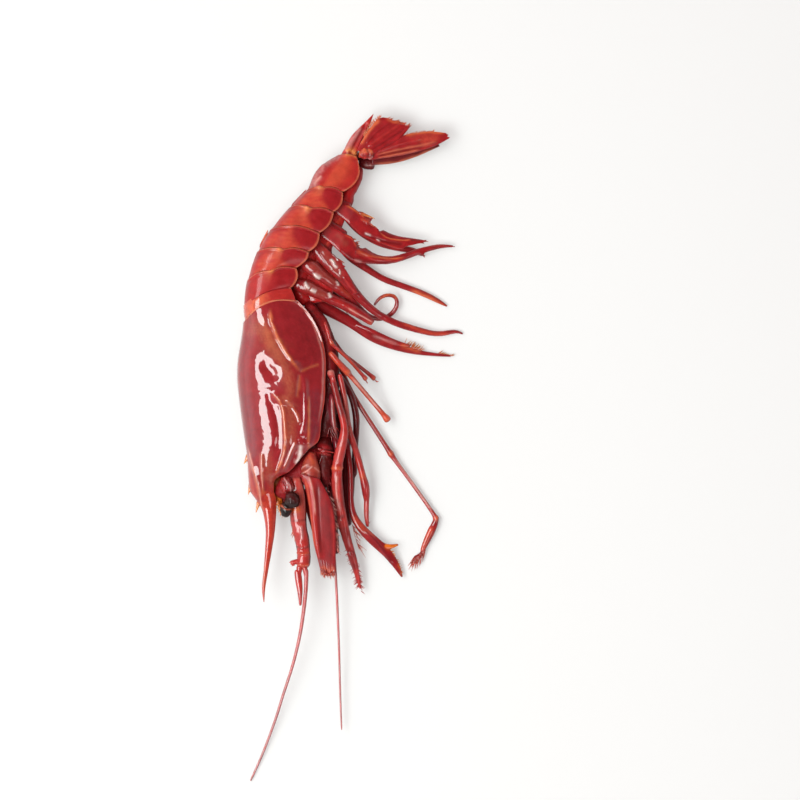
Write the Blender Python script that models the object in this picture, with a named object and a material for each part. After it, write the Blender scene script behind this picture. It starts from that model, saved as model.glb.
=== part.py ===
"""A raw red prawn lying on its right side, as solids.

The frame: +X runs from the back to the belly, +Y from the head to the tail, +Z up from the surface
that the prawn lies on. The origin is below the middle of the box round the prawn. Every number is
in millimetres, and MM turns it into metres where a mesh is made.

The shell is lofted through ribs. A rib is a cut across the body: a point on the back, a point on
the belly edge, the half width between them and the height of the body's middle plane. Limbs are
lofted through stations: a place, a half width in plan and a half thickness.
"""

import math
from collections import namedtuple

import bmesh
import bpy
from mathutils import Matrix, Vector

MM = 0.001
GAP = 0.35

Rib = namedtuple("Rib", "back belly half_width height edge recess")
Station = namedtuple("Station", "x y z half_width half_thickness")
Margin = namedtuple("Margin", "arc scallop")

# The head shield, from its rear margin to the tip of the rostrum. The edge is the share of the
# half width left at the belly edge, and the recess is how deep the belly lies inside that edge.
SHIELD_HEIGHT = 15.3
SHIELD_RIBS = [
    Rib((-53.5, 62.5), (-26.0, 73.5), 13.8, 14.2, 0.74, 2.5),
    Rib((-54.0, 57.5), (-19.0, 65.5), 14.7, 14.9, 0.68, 2.5),
    Rib((-55.0, 51.5), (-14.0, 55.0), 15.6, SHIELD_HEIGHT, 0.64, 2.5),
    Rib((-56.2, 44.0), (-12.0, 44.0), 16.0, SHIELD_HEIGHT, 0.62, 2.5),
    Rib((-56.5, 34.5), (-12.2, 34.0), 16.2, SHIELD_HEIGHT, 0.62, 2.5),
    Rib((-55.5, 24.0), (-12.5, 24.0), 16.1, SHIELD_HEIGHT, 0.63, 2.5),
    Rib((-54.2, 14.0), (-14.2, 14.0), 15.6, SHIELD_HEIGHT, 0.65, 2.5),
    Rib((-53.0, 5.5), (-15.5, 4.0), 14.3, SHIELD_HEIGHT, 0.68, 2.3),
    Rib((-51.8, -2.0), (-21.0, -1.0), 12.7, SHIELD_HEIGHT, 0.76, 2.0),
    Rib((-51.2, -10.0), (-29.5, -11.0), 10.6, SHIELD_HEIGHT, 0.8, 1.6),
    Rib((-50.8, -16.0), (-37.0, -15.5), 8.4, SHIELD_HEIGHT, 0.8, 1.0),
    Rib((-50.0, -21.5), (-38.0, -21.0), 6.4, SHIELD_HEIGHT, 0.72, 0.8),
    Rib((-47.0, -26.0), (-36.8, -26.0), 4.6, SHIELD_HEIGHT, 0.6, 0.6),
    Rib((-43.8, -31.5), (-36.8, -31.5), 3.2, SHIELD_HEIGHT, 0.5, 0.4),
    Rib((-42.2, -41.0), (-37.5, -41.0), 2.3, SHIELD_HEIGHT, 0.5, 0.3),
    Rib((-42.5, -51.0), (-39.0, -51.0), 1.8, SHIELD_HEIGHT, 0.5, 0.2),
    Rib((-43.2, -61.0), (-40.8, -61.0), 1.4, SHIELD_HEIGHT, 0.5, 0.2),
    Rib((-44.0, -70.0), (-42.3, -70.0), 0.9, SHIELD_HEIGHT, 0.5, 0.1),
    Rib((-43.2, -77.0), (-42.8, -77.0), 0.3, SHIELD_HEIGHT, 0.5, 0.05),
]
SHIELD_REAR = Margin(arc=5.0, scallop=0.0)

# Where one tail segment ends and the next begins, from the head shield to the tail fan.
TAIL_RIBS = [
    Rib((-53.5, 69.0), (-28.5, 80.0), 13.5, 13.2, 0.78, 4.0),
    Rib((-51.5, 83.5), (-26.5, 89.5), 13.7, 13.1, 0.78, 4.0),
    Rib((-46.5, 98.0), (-20.3, 97.5), 13.7, 13.1, 0.78, 4.0),
    Rib((-39.5, 109.5), (-15.0, 107.0), 13.1, 12.5, 0.78, 4.0),
    Rib((-30.0, 120.5), (-8.0, 117.5), 11.9, 11.3, 0.78, 3.6),
    Rib((-22.0, 128.5), (-3.5, 127.5), 10.5, 9.9, 0.78, 3.0),
    Rib((-6.0, 146.5), (3.5, 145.5), 6.3, 9.0, 0.8, 1.5),
]
TAIL_MARGINS = [
    Margin(arc=3.0, scallop=0.0),
    Margin(arc=1.7, scallop=1.3),
    Margin(arc=1.2, scallop=1.2),
    Margin(arc=2.7, scallop=0.0),
    Margin(arc=0.6, scallop=1.1),
    Margin(arc=2.0, scallop=0.8),
    Margin(arc=0.8, scallop=0.0),
]

# How far a segment swells out at its belly edge and at its back. A power below 1 moves the widest
# place towards the segment's front, a power above 1 towards its rear.
LOBE = 2.0
LAST_LOBE = 5.0
LOBE_POWER = 0.8
BACK_SWELL = 0.3
LAST_BACK_SWELL = 3.8
BACK_POWER = 1.3
SEGMENT_STEPS = 4
LAST_SEGMENT_STEPS = 6

# The size of a tucked-in front, as a share of the full size, and how far the waist stays away
# from the shell before and behind it.
TUCK = 0.95
WAIST_TUCK = 0.92
WAIST_CLEARANCE = 0.55

# How a rib's outline is spaced: points down each side, the depth of the widest place as a share
# of the whole depth, and the power that rounds the back.
SIDE_POINTS = 7
WIDEST_AT = 0.45
ROUNDNESS = 2.4

# The side flaps stand out past the recessed belly: the half width there as a share of the belly
# edge's, and the point down the side from which the flap is its own.
FLAP_ROOT = 0.88
FLAP_START = 5

# Spines, as base, tip and radius at the base. The tip ends in a small flat.
SPINE_TIP = 0.08
SPINE_SIDES = 8
SHIELD_SPINES = [
    ((-48.8, -4.0, SHIELD_HEIGHT), (-52.8, -8.0, SHIELD_HEIGHT), 1.4),
    ((-47.4, -15.5, SHIELD_HEIGHT), (-50.4, -22.6, SHIELD_HEIGHT), 1.4),
    ((-43.0, -24.0, SHIELD_HEIGHT), (-46.6, -32.0, SHIELD_HEIGHT), 1.3),
]
TAIL_SPINES = {
    3: ((-40.6, 103.6, 12.6), (-41.7, 109.0, 12.6), 1.2),
    4: ((-31.0, 115.0, 11.4), (-30.9, 120.3, 11.4), 1.2),
    5: ((-23.3, 123.4, 10.0), (-23.1, 128.6, 10.0), 1.1),
}

THORAX = [
    (-20.6, 71.2, 14.9, 1.1, 2.2),
    (-16.6, 65.0, 15.0, 1.7, 3.0),
    (-13.2, 58.4, 15.2, 2.2, 3.4),
    (-11.2, 52.0, 15.3, 2.8, 3.8),
    (-9.7, 44.0, 15.3, 3.0, 4.0),
    (-9.9, 34.0, 15.3, 3.0, 4.0),
    (-10.2, 24.0, 15.3, 3.0, 4.0),
    (-11.8, 14.0, 15.3, 2.8, 4.0),
    (-12.6, 5.6, 15.3, 2.4, 3.4),
]
MOUTHPARTS = [
    (-12.6, 5.0, 15.3, 2.2, 3.2),
    (-12.4, -3.0, 15.4, 2.6, 4.6),
    (-12.4, -12.0, 15.4, 2.5, 4.8),
    (-12.6, -18.0, 15.2, 1.4, 2.6),
]

# The head between the eyes and the mouth, in front of the shield's edge.
HEAD = [
    (-16.8, -2.4, 15.3, 2.2, 2.2),
    (-19.6, -7.0, 15.3, 3.0, 2.4),
    (-24.8, -13.0, 15.3, 3.4, 2.4),
    (-31.6, -18.4, 15.3, 3.0, 2.2),
    (-34.4, -23.0, 15.3, 1.8, 1.6),
]

# The head's limbs on the left side, which lies uppermost. The right side mirrors those that have
# a pair, through the body's middle plane.
ANTENNA_BASE = [
    (-18.6, -2.2, 21.0, 1.6, 2.0),
    (-19.6, -7.0, 21.4, 4.0, 3.2),
    (-19.4, -12.6, 21.5, 5.2, 3.5),
    (-19.4, -17.6, 21.4, 4.6, 2.8),
]
ANTENNA_SCALE = [
    (-18.8, -19.0, 21.4, 4.4, 1.2),
    (-17.4, -25.0, 21.4, 6.7, 1.1),
    (-15.6, -33.0, 21.2, 6.2, 1.0),
    (-13.8, -42.0, 20.4, 5.4, 0.8),
    (-12.5, -52.0, 19.2, 4.2, 0.7),
    (-11.4, -60.0, 18.2, 3.3, 0.6),
    (-10.6, -64.0, 17.8, 1.2, 0.4),
]
ANTENNULE = [
    (-26.6, -14.8, 19.5, 1.8, 1.2),
    (-26.6, -19.0, 18.8, 3.0, 1.6),
    (-26.2, -25.0, 17.9, 4.0, 2.0),
    (-26.0, -36.0, 17.6, 3.8, 2.1),
    (-25.0, -41.5, 17.6, 3.0, 2.0),
    (-23.8, -46.0, 17.6, 3.3, 2.0),
    (-23.2, -51.0, 17.6, 2.7, 1.9),
    (-23.0, -55.0, 17.6, 3.1, 2.0),
    (-23.2, -59.4, 17.6, 2.5, 1.8),
]
ANTENNULE_STUB = [
    (-24.5, -56.2, 18.2, 0.9, 0.9),
    (-29.4, -57.4, 18.4, 1.0, 0.8),
]
EYE_STALK = [
    (-32.2, -15.2, 21.5, 1.8, 1.6),
    (-31.8, -18.0, 21.9, 2.6, 2.3),
    (-30.8, -21.3, 22.4, 2.3, 2.2),
]
EYE_BALLS = [
    ((-29.0, -25.8, 23.3), (3.6, 3.8, 3.2)),
    ((-32.0, -30.4, 22.0), (2.4, 3.9, 2.5)),
]

# Feelers, as places and radii.
ANTENNA_FLAGELLUM = [
    (-13.6, -23.0, 16.2, 0.8),
    (-11.0, -34.0, 15.8, 0.8),
    (-8.7, -46.0, 14.6, 0.75),
    (-7.5, -58.0, 12.6, 0.7),
    (-6.5, -76.0, 10.2, 0.65),
    (-5.5, -100.0, 7.8, 0.55),
    (-5.0, -121.0, 6.3, 0.5),
    (-4.2, -141.5, 5.2, 0.4),
]
LONG_FLAGELLUM = [
    (-21.7, -60.3, 17.8, 1.2),
    (-22.0, -71.0, 17.0, 1.05),
    (-23.5, -84.0, 15.0, 0.95),
    (-25.5, -96.0, 12.5, 0.85),
    (-29.0, -110.0, 9.8, 0.75),
    (-33.5, -123.5, 7.2, 0.7),
    (-36.5, -133.5, 5.2, 0.65),
    (-41.0, -146.0, 3.0, 0.6),
    (-45.0, -156.0, 1.7, 0.5),
    (-50.0, -167.0, 0.8, 0.4),
]
SHORT_FLAGELLUM = [
    (-26.2, -61.0, 17.6, 1.5, 0.8),
    (-25.6, -66.0, 17.4, 1.7, 0.7),
    (-24.9, -72.0, 16.9, 1.1, 0.6),
    (-24.8, -78.5, 15.8, 0.3, 0.3),
]

# The walking legs and the long mouth legs, each as it lies.
LEGS = {
    "leg_5_left": [
        (-12.6, 63.0, 20.4, 0.9, 0.9),
        (-11.0, 58.0, 20.8, 1.0, 1.0),
        (-9.4, 52.6, 20.6, 1.1, 1.1),
        (-5.0, 48.4, 18.6, 0.9, 0.9),
        (0.0, 43.6, 15.2, 0.9, 0.9),
        (5.0, 38.0, 11.6, 0.9, 0.9),
        (8.0, 34.4, 9.6, 1.2, 1.1),
    ],
    "leg_5_right": [
        (-9.0, 55.0, 9.6, 1.0, 1.0),
        (-6.0, 50.5, 9.8, 1.1, 1.1),
        (-3.0, 46.8, 9.6, 1.0, 1.0),
        (1.4, 43.4, 8.4, 1.0, 1.0),
        (7.0, 39.0, 5.8, 1.0, 1.0),
        (12.4, 34.6, 3.6, 1.3, 1.2),
    ],
    "leg_4_left": [
        (-10.2, 48.0, 21.4, 1.4, 1.4),
        (-6.2, 43.0, 20.6, 1.5, 1.5),
        (-1.8, 38.4, 18.6, 1.8, 1.7),
        (1.0, 35.2, 16.8, 1.3, 1.3),
        (8.0, 27.0, 11.8, 1.3, 1.2),
        (15.0, 18.8, 7.6, 1.3, 1.2),
        (19.2, 13.8, 5.4, 1.8, 1.6),
    ],
    "leg_4_right": [
        (-6.2, 42.6, 8.6, 1.2, 1.2),
        (-2.5, 35.2, 7.4, 1.1, 1.1),
        (1.0, 27.0, 6.4, 1.1, 1.1),
        (10.0, 13.0, 5.0, 1.1, 1.1),
        (18.0, 0.8, 3.8, 1.1, 1.1),
        (20.2, -2.8, 3.5, 1.5, 1.3),
        (23.4, -7.4, 3.4, 0.9, 0.9),
        (33.0, -20.4, 3.2, 0.9, 0.9),
        (41.4, -32.4, 3.0, 0.9, 0.9),
        (43.4, -35.6, 2.9, 1.4, 1.3),
        (42.0, -39.0, 2.8, 2.0, 1.1),
        (39.0, -45.4, 2.5, 1.9, 0.9),
        (35.6, -52.8, 2.2, 0.6, 0.5),
    ],
    "leg_3_left": [
        (-5.2, 37.0, 20.6, 1.3, 1.3),
        (-3.9, 31.0, 19.6, 1.5, 1.5),
        (-2.5, 24.0, 18.2, 1.5, 1.5),
        (-1.5, 16.0, 16.6, 1.5, 1.5),
        (-1.0, 9.6, 15.4, 1.9, 1.7),
        (1.6, 3.0, 13.6, 1.6, 1.5),
        (4.4, -6.0, 11.2, 1.8, 1.6),
        (6.6, -15.0, 9.2, 1.7, 1.6),
        (8.0, -19.6, 8.2, 2.2, 1.9),
        (8.4, -25.4, 6.8, 1.3, 1.3),
        (8.0, -33.4, 5.2, 1.4, 1.3),
        (8.8, -39.6, 4.2, 0.7, 0.7),
    ],
    "leg_3_right": [
        (-5.8, 36.4, 11.0, 1.2, 1.2),
        (-2.0, 31.0, 11.0, 1.3, 1.3),
        (1.0, 25.0, 10.2, 1.3, 1.3),
        (3.2, 15.0, 8.6, 1.5, 1.4),
        (2.8, 4.0, 6.8, 1.2, 1.2),
        (2.2, -8.0, 5.4, 1.2, 1.2),
        (2.0, -20.0, 4.2, 1.1, 1.1),
        (1.4, -30.0, 3.4, 0.5, 0.5),
    ],
    "leg_2_right": [
        (-6.8, 28.0, 9.4, 1.2, 1.2),
        (-3.4, 16.0, 7.6, 1.3, 1.3),
        (-2.2, 2.0, 6.0, 1.2, 1.2),
        (-2.4, -12.0, 4.8, 1.2, 1.2),
        (-2.2, -26.0, 3.6, 1.1, 1.1),
        (-1.0, -38.0, 2.6, 0.5, 0.5),
    ],
    "leg_1_left": [
        (-9.2, 27.0, 20.8, 1.1, 1.1),
        (-8.8, 14.0, 20.2, 1.2, 1.2),
        (-6.8, 3.0, 16.6, 1.2, 1.2),
        (-6.2, -12.0, 14.0, 1.2, 1.2),
        (-5.8, -26.0, 11.6, 1.2, 1.2),
        (-3.0, -40.0, 7.8, 1.1, 1.1),
        (1.0, -53.0, 4.6, 0.5, 0.5),
    ],
    "leg_1_right": [
        (-7.0, 16.0, 8.8, 1.1, 1.1),
        (-6.2, 3.0, 7.4, 1.2, 1.2),
        (-6.8, -12.0, 6.0, 1.1, 1.1),
        (-6.0, -26.0, 4.6, 1.1, 1.1),
        (-4.4, -40.0, 3.2, 0.5, 0.5),
    ],
    "maxilliped_left": [
        (-9.6, 38.4, 22.8, 1.9, 1.7),
        (-8.6, 34.0, 22.8, 1.6, 1.5),
        (-6.6, 26.0, 22.6, 1.6, 1.5),
        (-4.2, 17.0, 22.2, 1.8, 1.6),
        (-2.2, 10.0, 21.4, 1.9, 1.7),
        (-3.6, 3.0, 20.8, 2.7, 1.9),
        (-5.4, -4.0, 20.0, 3.0, 2.0),
        (-6.6, -9.8, 19.4, 2.7, 2.0),
        (-6.6, -18.0, 18.0, 3.2, 2.0),
        (-5.6, -28.0, 16.0, 3.1, 2.0),
        (-3.2, -40.0, 13.0, 2.8, 1.8),
        (-0.2, -50.0, 10.4, 2.2, 1.5),
        (1.6, -56.0, 8.8, 2.2, 1.4),
        (3.4, -63.0, 6.8, 1.3, 1.1),
        (5.2, -70.6, 5.0, 0.3, 0.4),
    ],
    "maxilliped_right": [
        (-10.0, 20.0, 8.8, 1.6, 1.5),
        (-10.0, 8.0, 7.6, 1.8, 1.6),
        (-11.0, -6.0, 6.6, 2.2, 1.7),
        (-11.0, -18.0, 5.8, 2.3, 1.7),
        (-10.4, -30.0, 4.8, 2.1, 1.6),
        (-8.6, -42.0, 3.8, 1.7, 1.3),
        (-6.8, -52.0, 3.0, 0.4, 0.5),
    ],
}
# The second left leg ends in a pincer: the palm, a long finger and a short one.
PINCER_LEG = [
    (-5.6, 21.0, 13.2, 1.2, 1.2),
    (-3.6, 12.0, 11.6, 1.4, 1.3),
    (-1.2, 0.0, 10.4, 1.4, 1.3),
    (0.4, -12.0, 9.8, 1.3, 1.2),
    (0.4, -22.0, 9.2, 1.3, 1.2),
    (0.4, -32.0, 8.6, 1.7, 1.2),
    (5.0, -40.0, 7.8, 2.4, 1.1),
    (12.4, -47.0, 6.4, 2.8, 1.1),
    (20.0, -54.0, 4.6, 2.2, 0.9),
    (23.6, -59.4, 3.6, 1.8, 0.8),
    (26.0, -64.6, 2.6, 0.3, 0.4),
]
PINCER_FINGER = [
    (12.0, -46.8, 6.4, 1.6, 0.8),
    (18.4, -49.6, 5.4, 1.4, 0.7),
    (24.0, -48.4, 4.4, 0.3, 0.3),
]

# The swimming legs under the tail: each a stout base that runs out into a long strap.
SWIMMERETS = {
    "swimmeret_1_left": [
        (-27.4, 82.2, 17.6, 2.0, 1.8),
        (-23.0, 80.4, 17.6, 3.2, 2.4),
        (-17.5, 78.4, 17.0, 3.2, 2.6),
        (-10.6, 75.0, 15.4, 2.7, 2.1),
        (-2.5, 71.4, 13.4, 2.6, 1.6),
        (5.0, 67.0, 11.4, 2.4, 1.3),
        (11.4, 62.6, 9.4, 1.7, 1.0),
    ],
    "swimmeret_1_right": [
        (-27.0, 81.0, 9.0, 1.6, 1.6),
        (-22.0, 77.0, 8.8, 2.8, 2.2),
        (-16.0, 71.6, 8.2, 3.4, 2.3),
        (-5.0, 66.2, 7.0, 3.0, 1.9),
        (2.5, 61.6, 6.0, 2.6, 1.5),
        (10.0, 55.8, 5.0, 2.3, 1.3),
        (17.5, 52.4, 4.0, 2.0, 1.1),
        (25.0, 49.9, 3.1, 1.7, 0.9),
        (35.0, 47.4, 2.2, 1.1, 0.8),
        (51.0, 46.0, 1.4, 0.3, 0.4),
    ],
    "swimmeret_2_left": [
        (-23.8, 91.6, 17.6, 2.2, 1.8),
        (-19.6, 90.2, 17.6, 3.6, 2.4),
        (-14.4, 86.2, 17.0, 3.3, 2.6),
        (-6.9, 81.2, 13.6, 2.9, 1.9),
        (-0.8, 75.9, 10.6, 2.3, 1.5),
        (4.0, 70.6, 7.4, 1.5, 1.2),
        (9.0, 65.6, 4.6, 1.2, 1.0),
        (15.0, 64.2, 2.9, 1.1, 1.0),
        (19.6, 66.0, 2.7, 1.1, 0.9),
        (22.8, 69.2, 3.1, 1.1, 0.9),
        (23.9, 73.0, 3.9, 1.0, 0.9),
        (22.6, 75.8, 4.6, 0.9, 0.8),
        (19.8, 76.7, 5.0, 0.9, 0.8),
        (16.5, 76.1, 5.2, 0.8, 0.7),
        (13.8, 74.2, 5.0, 0.7, 0.6),
        (12.1, 71.4, 4.6, 0.3, 0.3),
    ],
    "swimmeret_2_right": [
        (-23.6, 90.6, 8.8, 1.6, 1.6),
        (-19.0, 87.0, 8.4, 2.6, 2.2),
        (-13.0, 82.0, 7.6, 2.6, 2.2),
        (-6.0, 77.0, 6.0, 1.8, 1.6),
        (0.0, 72.4, 4.6, 0.5, 0.5),
    ],
    "swimmeret_3_left": [
        (-18.8, 101.4, 16.8, 2.2, 1.8),
        (-15.0, 98.2, 16.8, 4.2, 2.4),
        (-10.0, 92.8, 16.2, 4.4, 2.8),
        (-4.4, 87.0, 15.8, 3.4, 2.0),
        (0.0, 80.8, 13.9, 2.6, 1.7),
        (5.2, 74.4, 11.7, 2.1, 1.4),
        (11.5, 68.6, 9.2, 1.8, 1.2),
        (17.5, 64.9, 7.0, 1.7, 1.1),
        (25.0, 61.6, 5.4, 1.6, 1.0),
        (34.0, 59.0, 4.0, 1.5, 0.9),
        (43.0, 56.8, 2.9, 1.2, 0.8),
        (49.0, 57.8, 2.2, 1.0, 0.7),
        (53.0, 58.6, 1.8, 0.7, 0.6),
        (56.4, 57.2, 1.4, 0.3, 0.3),
    ],
    "swimmeret_3_right": [
        (-19.2, 99.0, 8.2, 2.0, 1.6),
        (-15.6, 94.0, 7.8, 3.0, 2.2),
        (-10.4, 89.0, 7.2, 3.0, 2.2),
        (-4.8, 83.2, 5.8, 2.0, 1.6),
        (1.0, 77.0, 4.4, 1.3, 1.1),
        (5.4, 72.4, 3.4, 0.4, 0.4),
    ],
    "swimmeret_4_left": [
        (-11.8, 112.6, 15.4, 2.2, 1.8),
        (-8.0, 109.0, 15.2, 4.0, 2.4),
        (-2.5, 103.8, 14.4, 4.5, 2.8),
        (3.5, 99.0, 12.6, 3.7, 2.2),
        (10.0, 95.0, 10.4, 2.8, 1.7),
        (17.5, 93.4, 8.6, 1.9, 1.3),
        (25.0, 94.8, 7.2, 1.6, 1.1),
        (32.5, 97.8, 6.2, 1.5, 1.0),
        (40.0, 100.0, 4.8, 1.3, 0.9),
        (45.6, 101.2, 3.6, 0.9, 0.7),
        (51.6, 101.0, 2.6, 0.3, 0.3),
    ],
    "swimmeret_4_right": [
        (-11.6, 111.6, 7.6, 1.6, 1.6),
        (-6.0, 104.0, 6.8, 2.4, 2.0),
        (-1.0, 96.4, 6.0, 2.6, 1.9),
        (5.0, 92.0, 5.0, 2.0, 1.6),
        (11.0, 88.0, 4.2, 1.6, 1.3),
        (16.0, 84.8, 3.6, 1.5, 1.1),
        (22.5, 82.4, 3.0, 1.5, 1.0),
        (30.0, 79.9, 2.6, 1.4, 0.9),
        (37.5, 77.0, 2.2, 1.4, 0.8),
        (43.5, 74.0, 1.8, 1.2, 0.7),
        (48.6, 71.0, 1.4, 0.3, 0.3),
    ],
    "swimmeret_5_left": [
        (-5.6, 122.6, 13.6, 2.2, 1.6),
        (-1.6, 120.0, 13.4, 3.6, 2.2),
        (3.5, 115.8, 12.8, 4.1, 2.5),
        (8.6, 111.4, 11.6, 3.4, 2.0),
        (15.0, 107.2, 10.0, 2.4, 1.5),
        (22.5, 104.3, 8.4, 2.0, 1.2),
        (30.0, 103.4, 7.0, 1.7, 1.0),
        (37.2, 103.6, 5.8, 0.3, 0.4),
    ],
    "swimmeret_5_right": [
        (-5.4, 121.0, 6.8, 1.6, 1.6),
        (0.0, 114.0, 6.2, 2.4, 2.0),
        (6.4, 107.4, 5.2, 2.0, 1.6),
        (15.0, 102.4, 3.9, 1.6, 1.2),
        (22.5, 100.4, 3.0, 1.5, 1.0),
        (30.0, 99.2, 2.4, 1.6, 0.9),
        (37.0, 97.0, 1.9, 1.1, 0.7),
    ],
}
SECOND_STRAP = [
    (3.0, 61.6, 6.8, 1.0, 0.8),
    (8.0, 59.8, 7.4, 1.2, 0.9),
    (14.0, 56.8, 7.0, 1.3, 0.8),
    (22.5, 53.0, 5.8, 1.2, 0.7),
    (30.0, 51.2, 4.6, 0.4, 0.4),
]
STRAP_SPINE = ((7.6, 113.0, 12.6), (11.6, 114.8, 12.4), 0.9)

# The soft belly skin of the tail, between the left and the right swimming legs.
TAIL_BELLY = [
    (-22.4, 73.8, 13.4, 1.4, 1.0),
    (-24.8, 77.6, 13.4, 1.9, 1.4),
    (-25.6, 82.8, 13.4, 1.9, 1.5),
    (-23.6, 90.4, 13.3, 1.7, 1.6),
    (-17.8, 98.4, 13.1, 1.7, 1.6),
    (-12.6, 107.8, 12.2, 1.7, 1.3),
    (-5.6, 118.4, 10.2, 1.7, 0.9),
    (-0.6, 126.6, 10.2, 1.6, 1.4),
    (3.9, 133.6, 9.6, 1.4, 1.8),
    (5.2, 139.6, 9.1, 0.8, 1.4),
]

TELSON = [
    (-0.6, 147.9, 9.0, 4.0, 4.4),
    (1.6, 152.6, 9.0, 3.3, 3.6),
    (4.4, 157.4, 9.0, 2.3, 2.4),
    (7.8, 162.2, 9.0, 1.2, 1.3),
    (11.6, 167.0, 9.0, 0.25, 0.3),
]
# The tail fan's left half; the right half lies under it, mirrored through the tail's middle plane.
TAIL_HEIGHT = 9.0
FAN_BASE = [
    (4.6, 147.6, 13.2, 2.0, 1.8),
    (7.6, 147.4, 13.4, 3.0, 2.2),
    (11.6, 147.0, 13.0, 2.8, 1.8),
]
FAN_INNER = [
    (8.2, 151.4, 13.0, 1.6, 0.7),
    (10.6, 154.0, 13.0, 4.0, 0.7),
    (14.0, 157.0, 12.6, 5.6, 0.6),
    (18.4, 159.4, 12.2, 5.7, 0.5),
    (21.8, 160.4, 11.8, 4.6, 0.5),
    (24.6, 161.2, 11.6, 3.6, 0.4),
    (28.4, 162.2, 11.4, 1.2, 0.3),
]
FAN_OUTER = [
    (12.6, 146.6, 11.0, 2.2, 0.8),
    (17.0, 146.8, 11.0, 5.2, 0.9),
    (25.0, 149.4, 10.9, 6.1, 0.8),
    (35.0, 152.4, 10.7, 5.5, 0.7),
    (42.6, 154.6, 10.5, 4.4, 0.6),
    (47.4, 155.6, 10.3, 2.8, 0.5),
    (49.6, 155.9, 10.2, 0.8, 0.4),
]
FAR_BASE_SHIFT = Vector((0.3, -4.6, 0.0))
FAR_BLADE_SHIFT = Vector((-1.0, -0.6, 0.0))

# Points round a limb, and the rings that a span between two stations gets, unless the limb has
# so many stations that each is a ring of its own.
LIMB_SIDES = 8
LEG_SIDES = 6
BLADE_SIDES = 8
SPAN_STEPS = 2
MANY_STATIONS = 9
BALL_SEGMENTS = 10
BALL_RINGS = 6

WET_ROUGHNESS = 0.22
SHELL_RED = (0.36, 0.012, 0.014)
PLATE_RED = (0.5, 0.035, 0.014)
LIMB_RED = (0.4, 0.012, 0.01)
FLESH_ORANGE = (0.75, 0.13, 0.035)
DARK_RED = (0.1, 0.004, 0.004)
EYE_BLACK = (0.004, 0.004, 0.005)


def clear_scene():
    for obj in list(bpy.data.objects):
        bpy.data.objects.remove(obj, do_unlink=True)


def material(name, colour):
    """A shiny wet material of one colour."""
    made = bpy.data.materials.new(name)
    made.use_nodes = True
    shader = made.node_tree.nodes["Principled BSDF"]
    shader.inputs["Base Color"].default_value = (*colour, 1.0)
    shader.inputs["Roughness"].default_value = WET_ROUGHNESS
    shader.inputs["Metallic"].default_value = 0.0
    return made


def add_object(name, mesh, colour):
    """A named object in the prawn's collection, smooth except along sharp edges."""
    obj = bpy.data.objects.new(name, mesh)
    COLLECTION.objects.link(obj)
    mesh.materials.clear()
    mesh.materials.append(material(name + "_finish", colour))
    mesh.shade_smooth()
    mesh.set_sharp_from_angle(angle=math.radians(50))
    return obj


def curve_between(before, start, end, after, share):
    """One value of the Catmull-Rom curve that runs from start to end."""
    linear = end - before
    square = 2 * before - 5 * start + 4 * end - after
    cube = 3 * (start - end) + after - before
    return start + 0.5 * share * (linear + share * (square + share * cube))


def smooth(rows, per_span):
    """The rows of numbers, with smooth in-between rows so that each span has per_span steps."""
    made = []
    last = len(rows) - 1
    for index in range(last):
        around = [rows[max(index - 1, 0)], rows[index], rows[index + 1], rows[min(index + 2, last)]]
        for step in range(per_span):
            share = step / per_span
            made.append(tuple(curve_between(*values, share) for values in zip(*around)))
    made.append(tuple(rows[-1]))
    return made


def flat_rib(rib):
    """A rib as one row of numbers, for smoothing."""
    return (*rib.back, *rib.belly, rib.half_width, rib.height, rib.edge, rib.recess)


def rib_from(row):
    return Rib((row[0], row[1]), (row[2], row[3]), *row[4:])


def between(first, second, share):
    """The rib at a share of the way from one rib to the next."""
    pairs = zip(flat_rib(first), flat_rib(second))
    return rib_from([a + (b - a) * share for a, b in pairs])


def half_width_at(depth, edge):
    """The shell's half width, as a share of its greatest, at a share of the depth from the back."""
    if depth < WIDEST_AT:
        return (1 - (1 - depth / WIDEST_AT) ** ROUNDNESS) ** (1 / ROUNDNESS)
    below = (depth - WIDEST_AT) / (1 - WIDEST_AT)
    return 1 - (1 - edge) * below ** 2


def rearward_bulge(margin, depth):
    """How far a margin runs out towards the tail at a share of the depth from the back."""
    return margin.arc * math.sin(math.pi * depth) + margin.scallop * abs(math.sin(2 * math.pi * depth))


def side_depths():
    """The shares of the depth at which a rib's outline has its points, closer at both ends."""
    turns = [0.5 * math.pi * index / SIDE_POINTS for index in range(1, SIDE_POINTS + 1)]
    return [math.sin(turn) ** 2 for turn in turns]


def rib_outline(rib, scale=1.0, margin=Margin(0.0, 0.0), shift=0.0):
    """The ring of points round a rib: the back, the upper side, the belly and the lower side."""
    back, belly = Vector(rib.back), Vector(rib.belly)
    across = (belly - back).normalized()
    rearward = Vector((-across.y, across.x))
    depth = (belly - back).length
    half = [(share, rib.half_width * half_width_at(share, rib.edge)) for share in side_depths()]
    half.append((1 - rib.recess / depth, rib.half_width * rib.edge * FLAP_ROOT))
    outline = [(0.0, 0.0)] + half + [(share, -width) for share, width in reversed(half)]
    ring = []
    for share, width in outline:
        inset = 0.5 + (share - 0.5) * scale
        place = back + across * depth * inset + rearward * (rearward_bulge(margin, inset) + shift)
        ring.append(Vector((place.x, place.y, max(rib.height + width * scale, 0.0))))
    return ring


def section(centre, along, half_width, half_thickness, sides):
    """An oval ring round a limb's middle line, level across its width."""
    level = along.cross(Vector((0, 0, 1))).normalized()
    upright = level.cross(along).normalized()
    ring = []
    for index in range(sides):
        turn = 2 * math.pi * (index + 0.5) / sides
        ring.append(
            centre
            + level * half_width * math.cos(turn)
            + upright * half_thickness * math.sin(turn)
        )
    return ring


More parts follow.
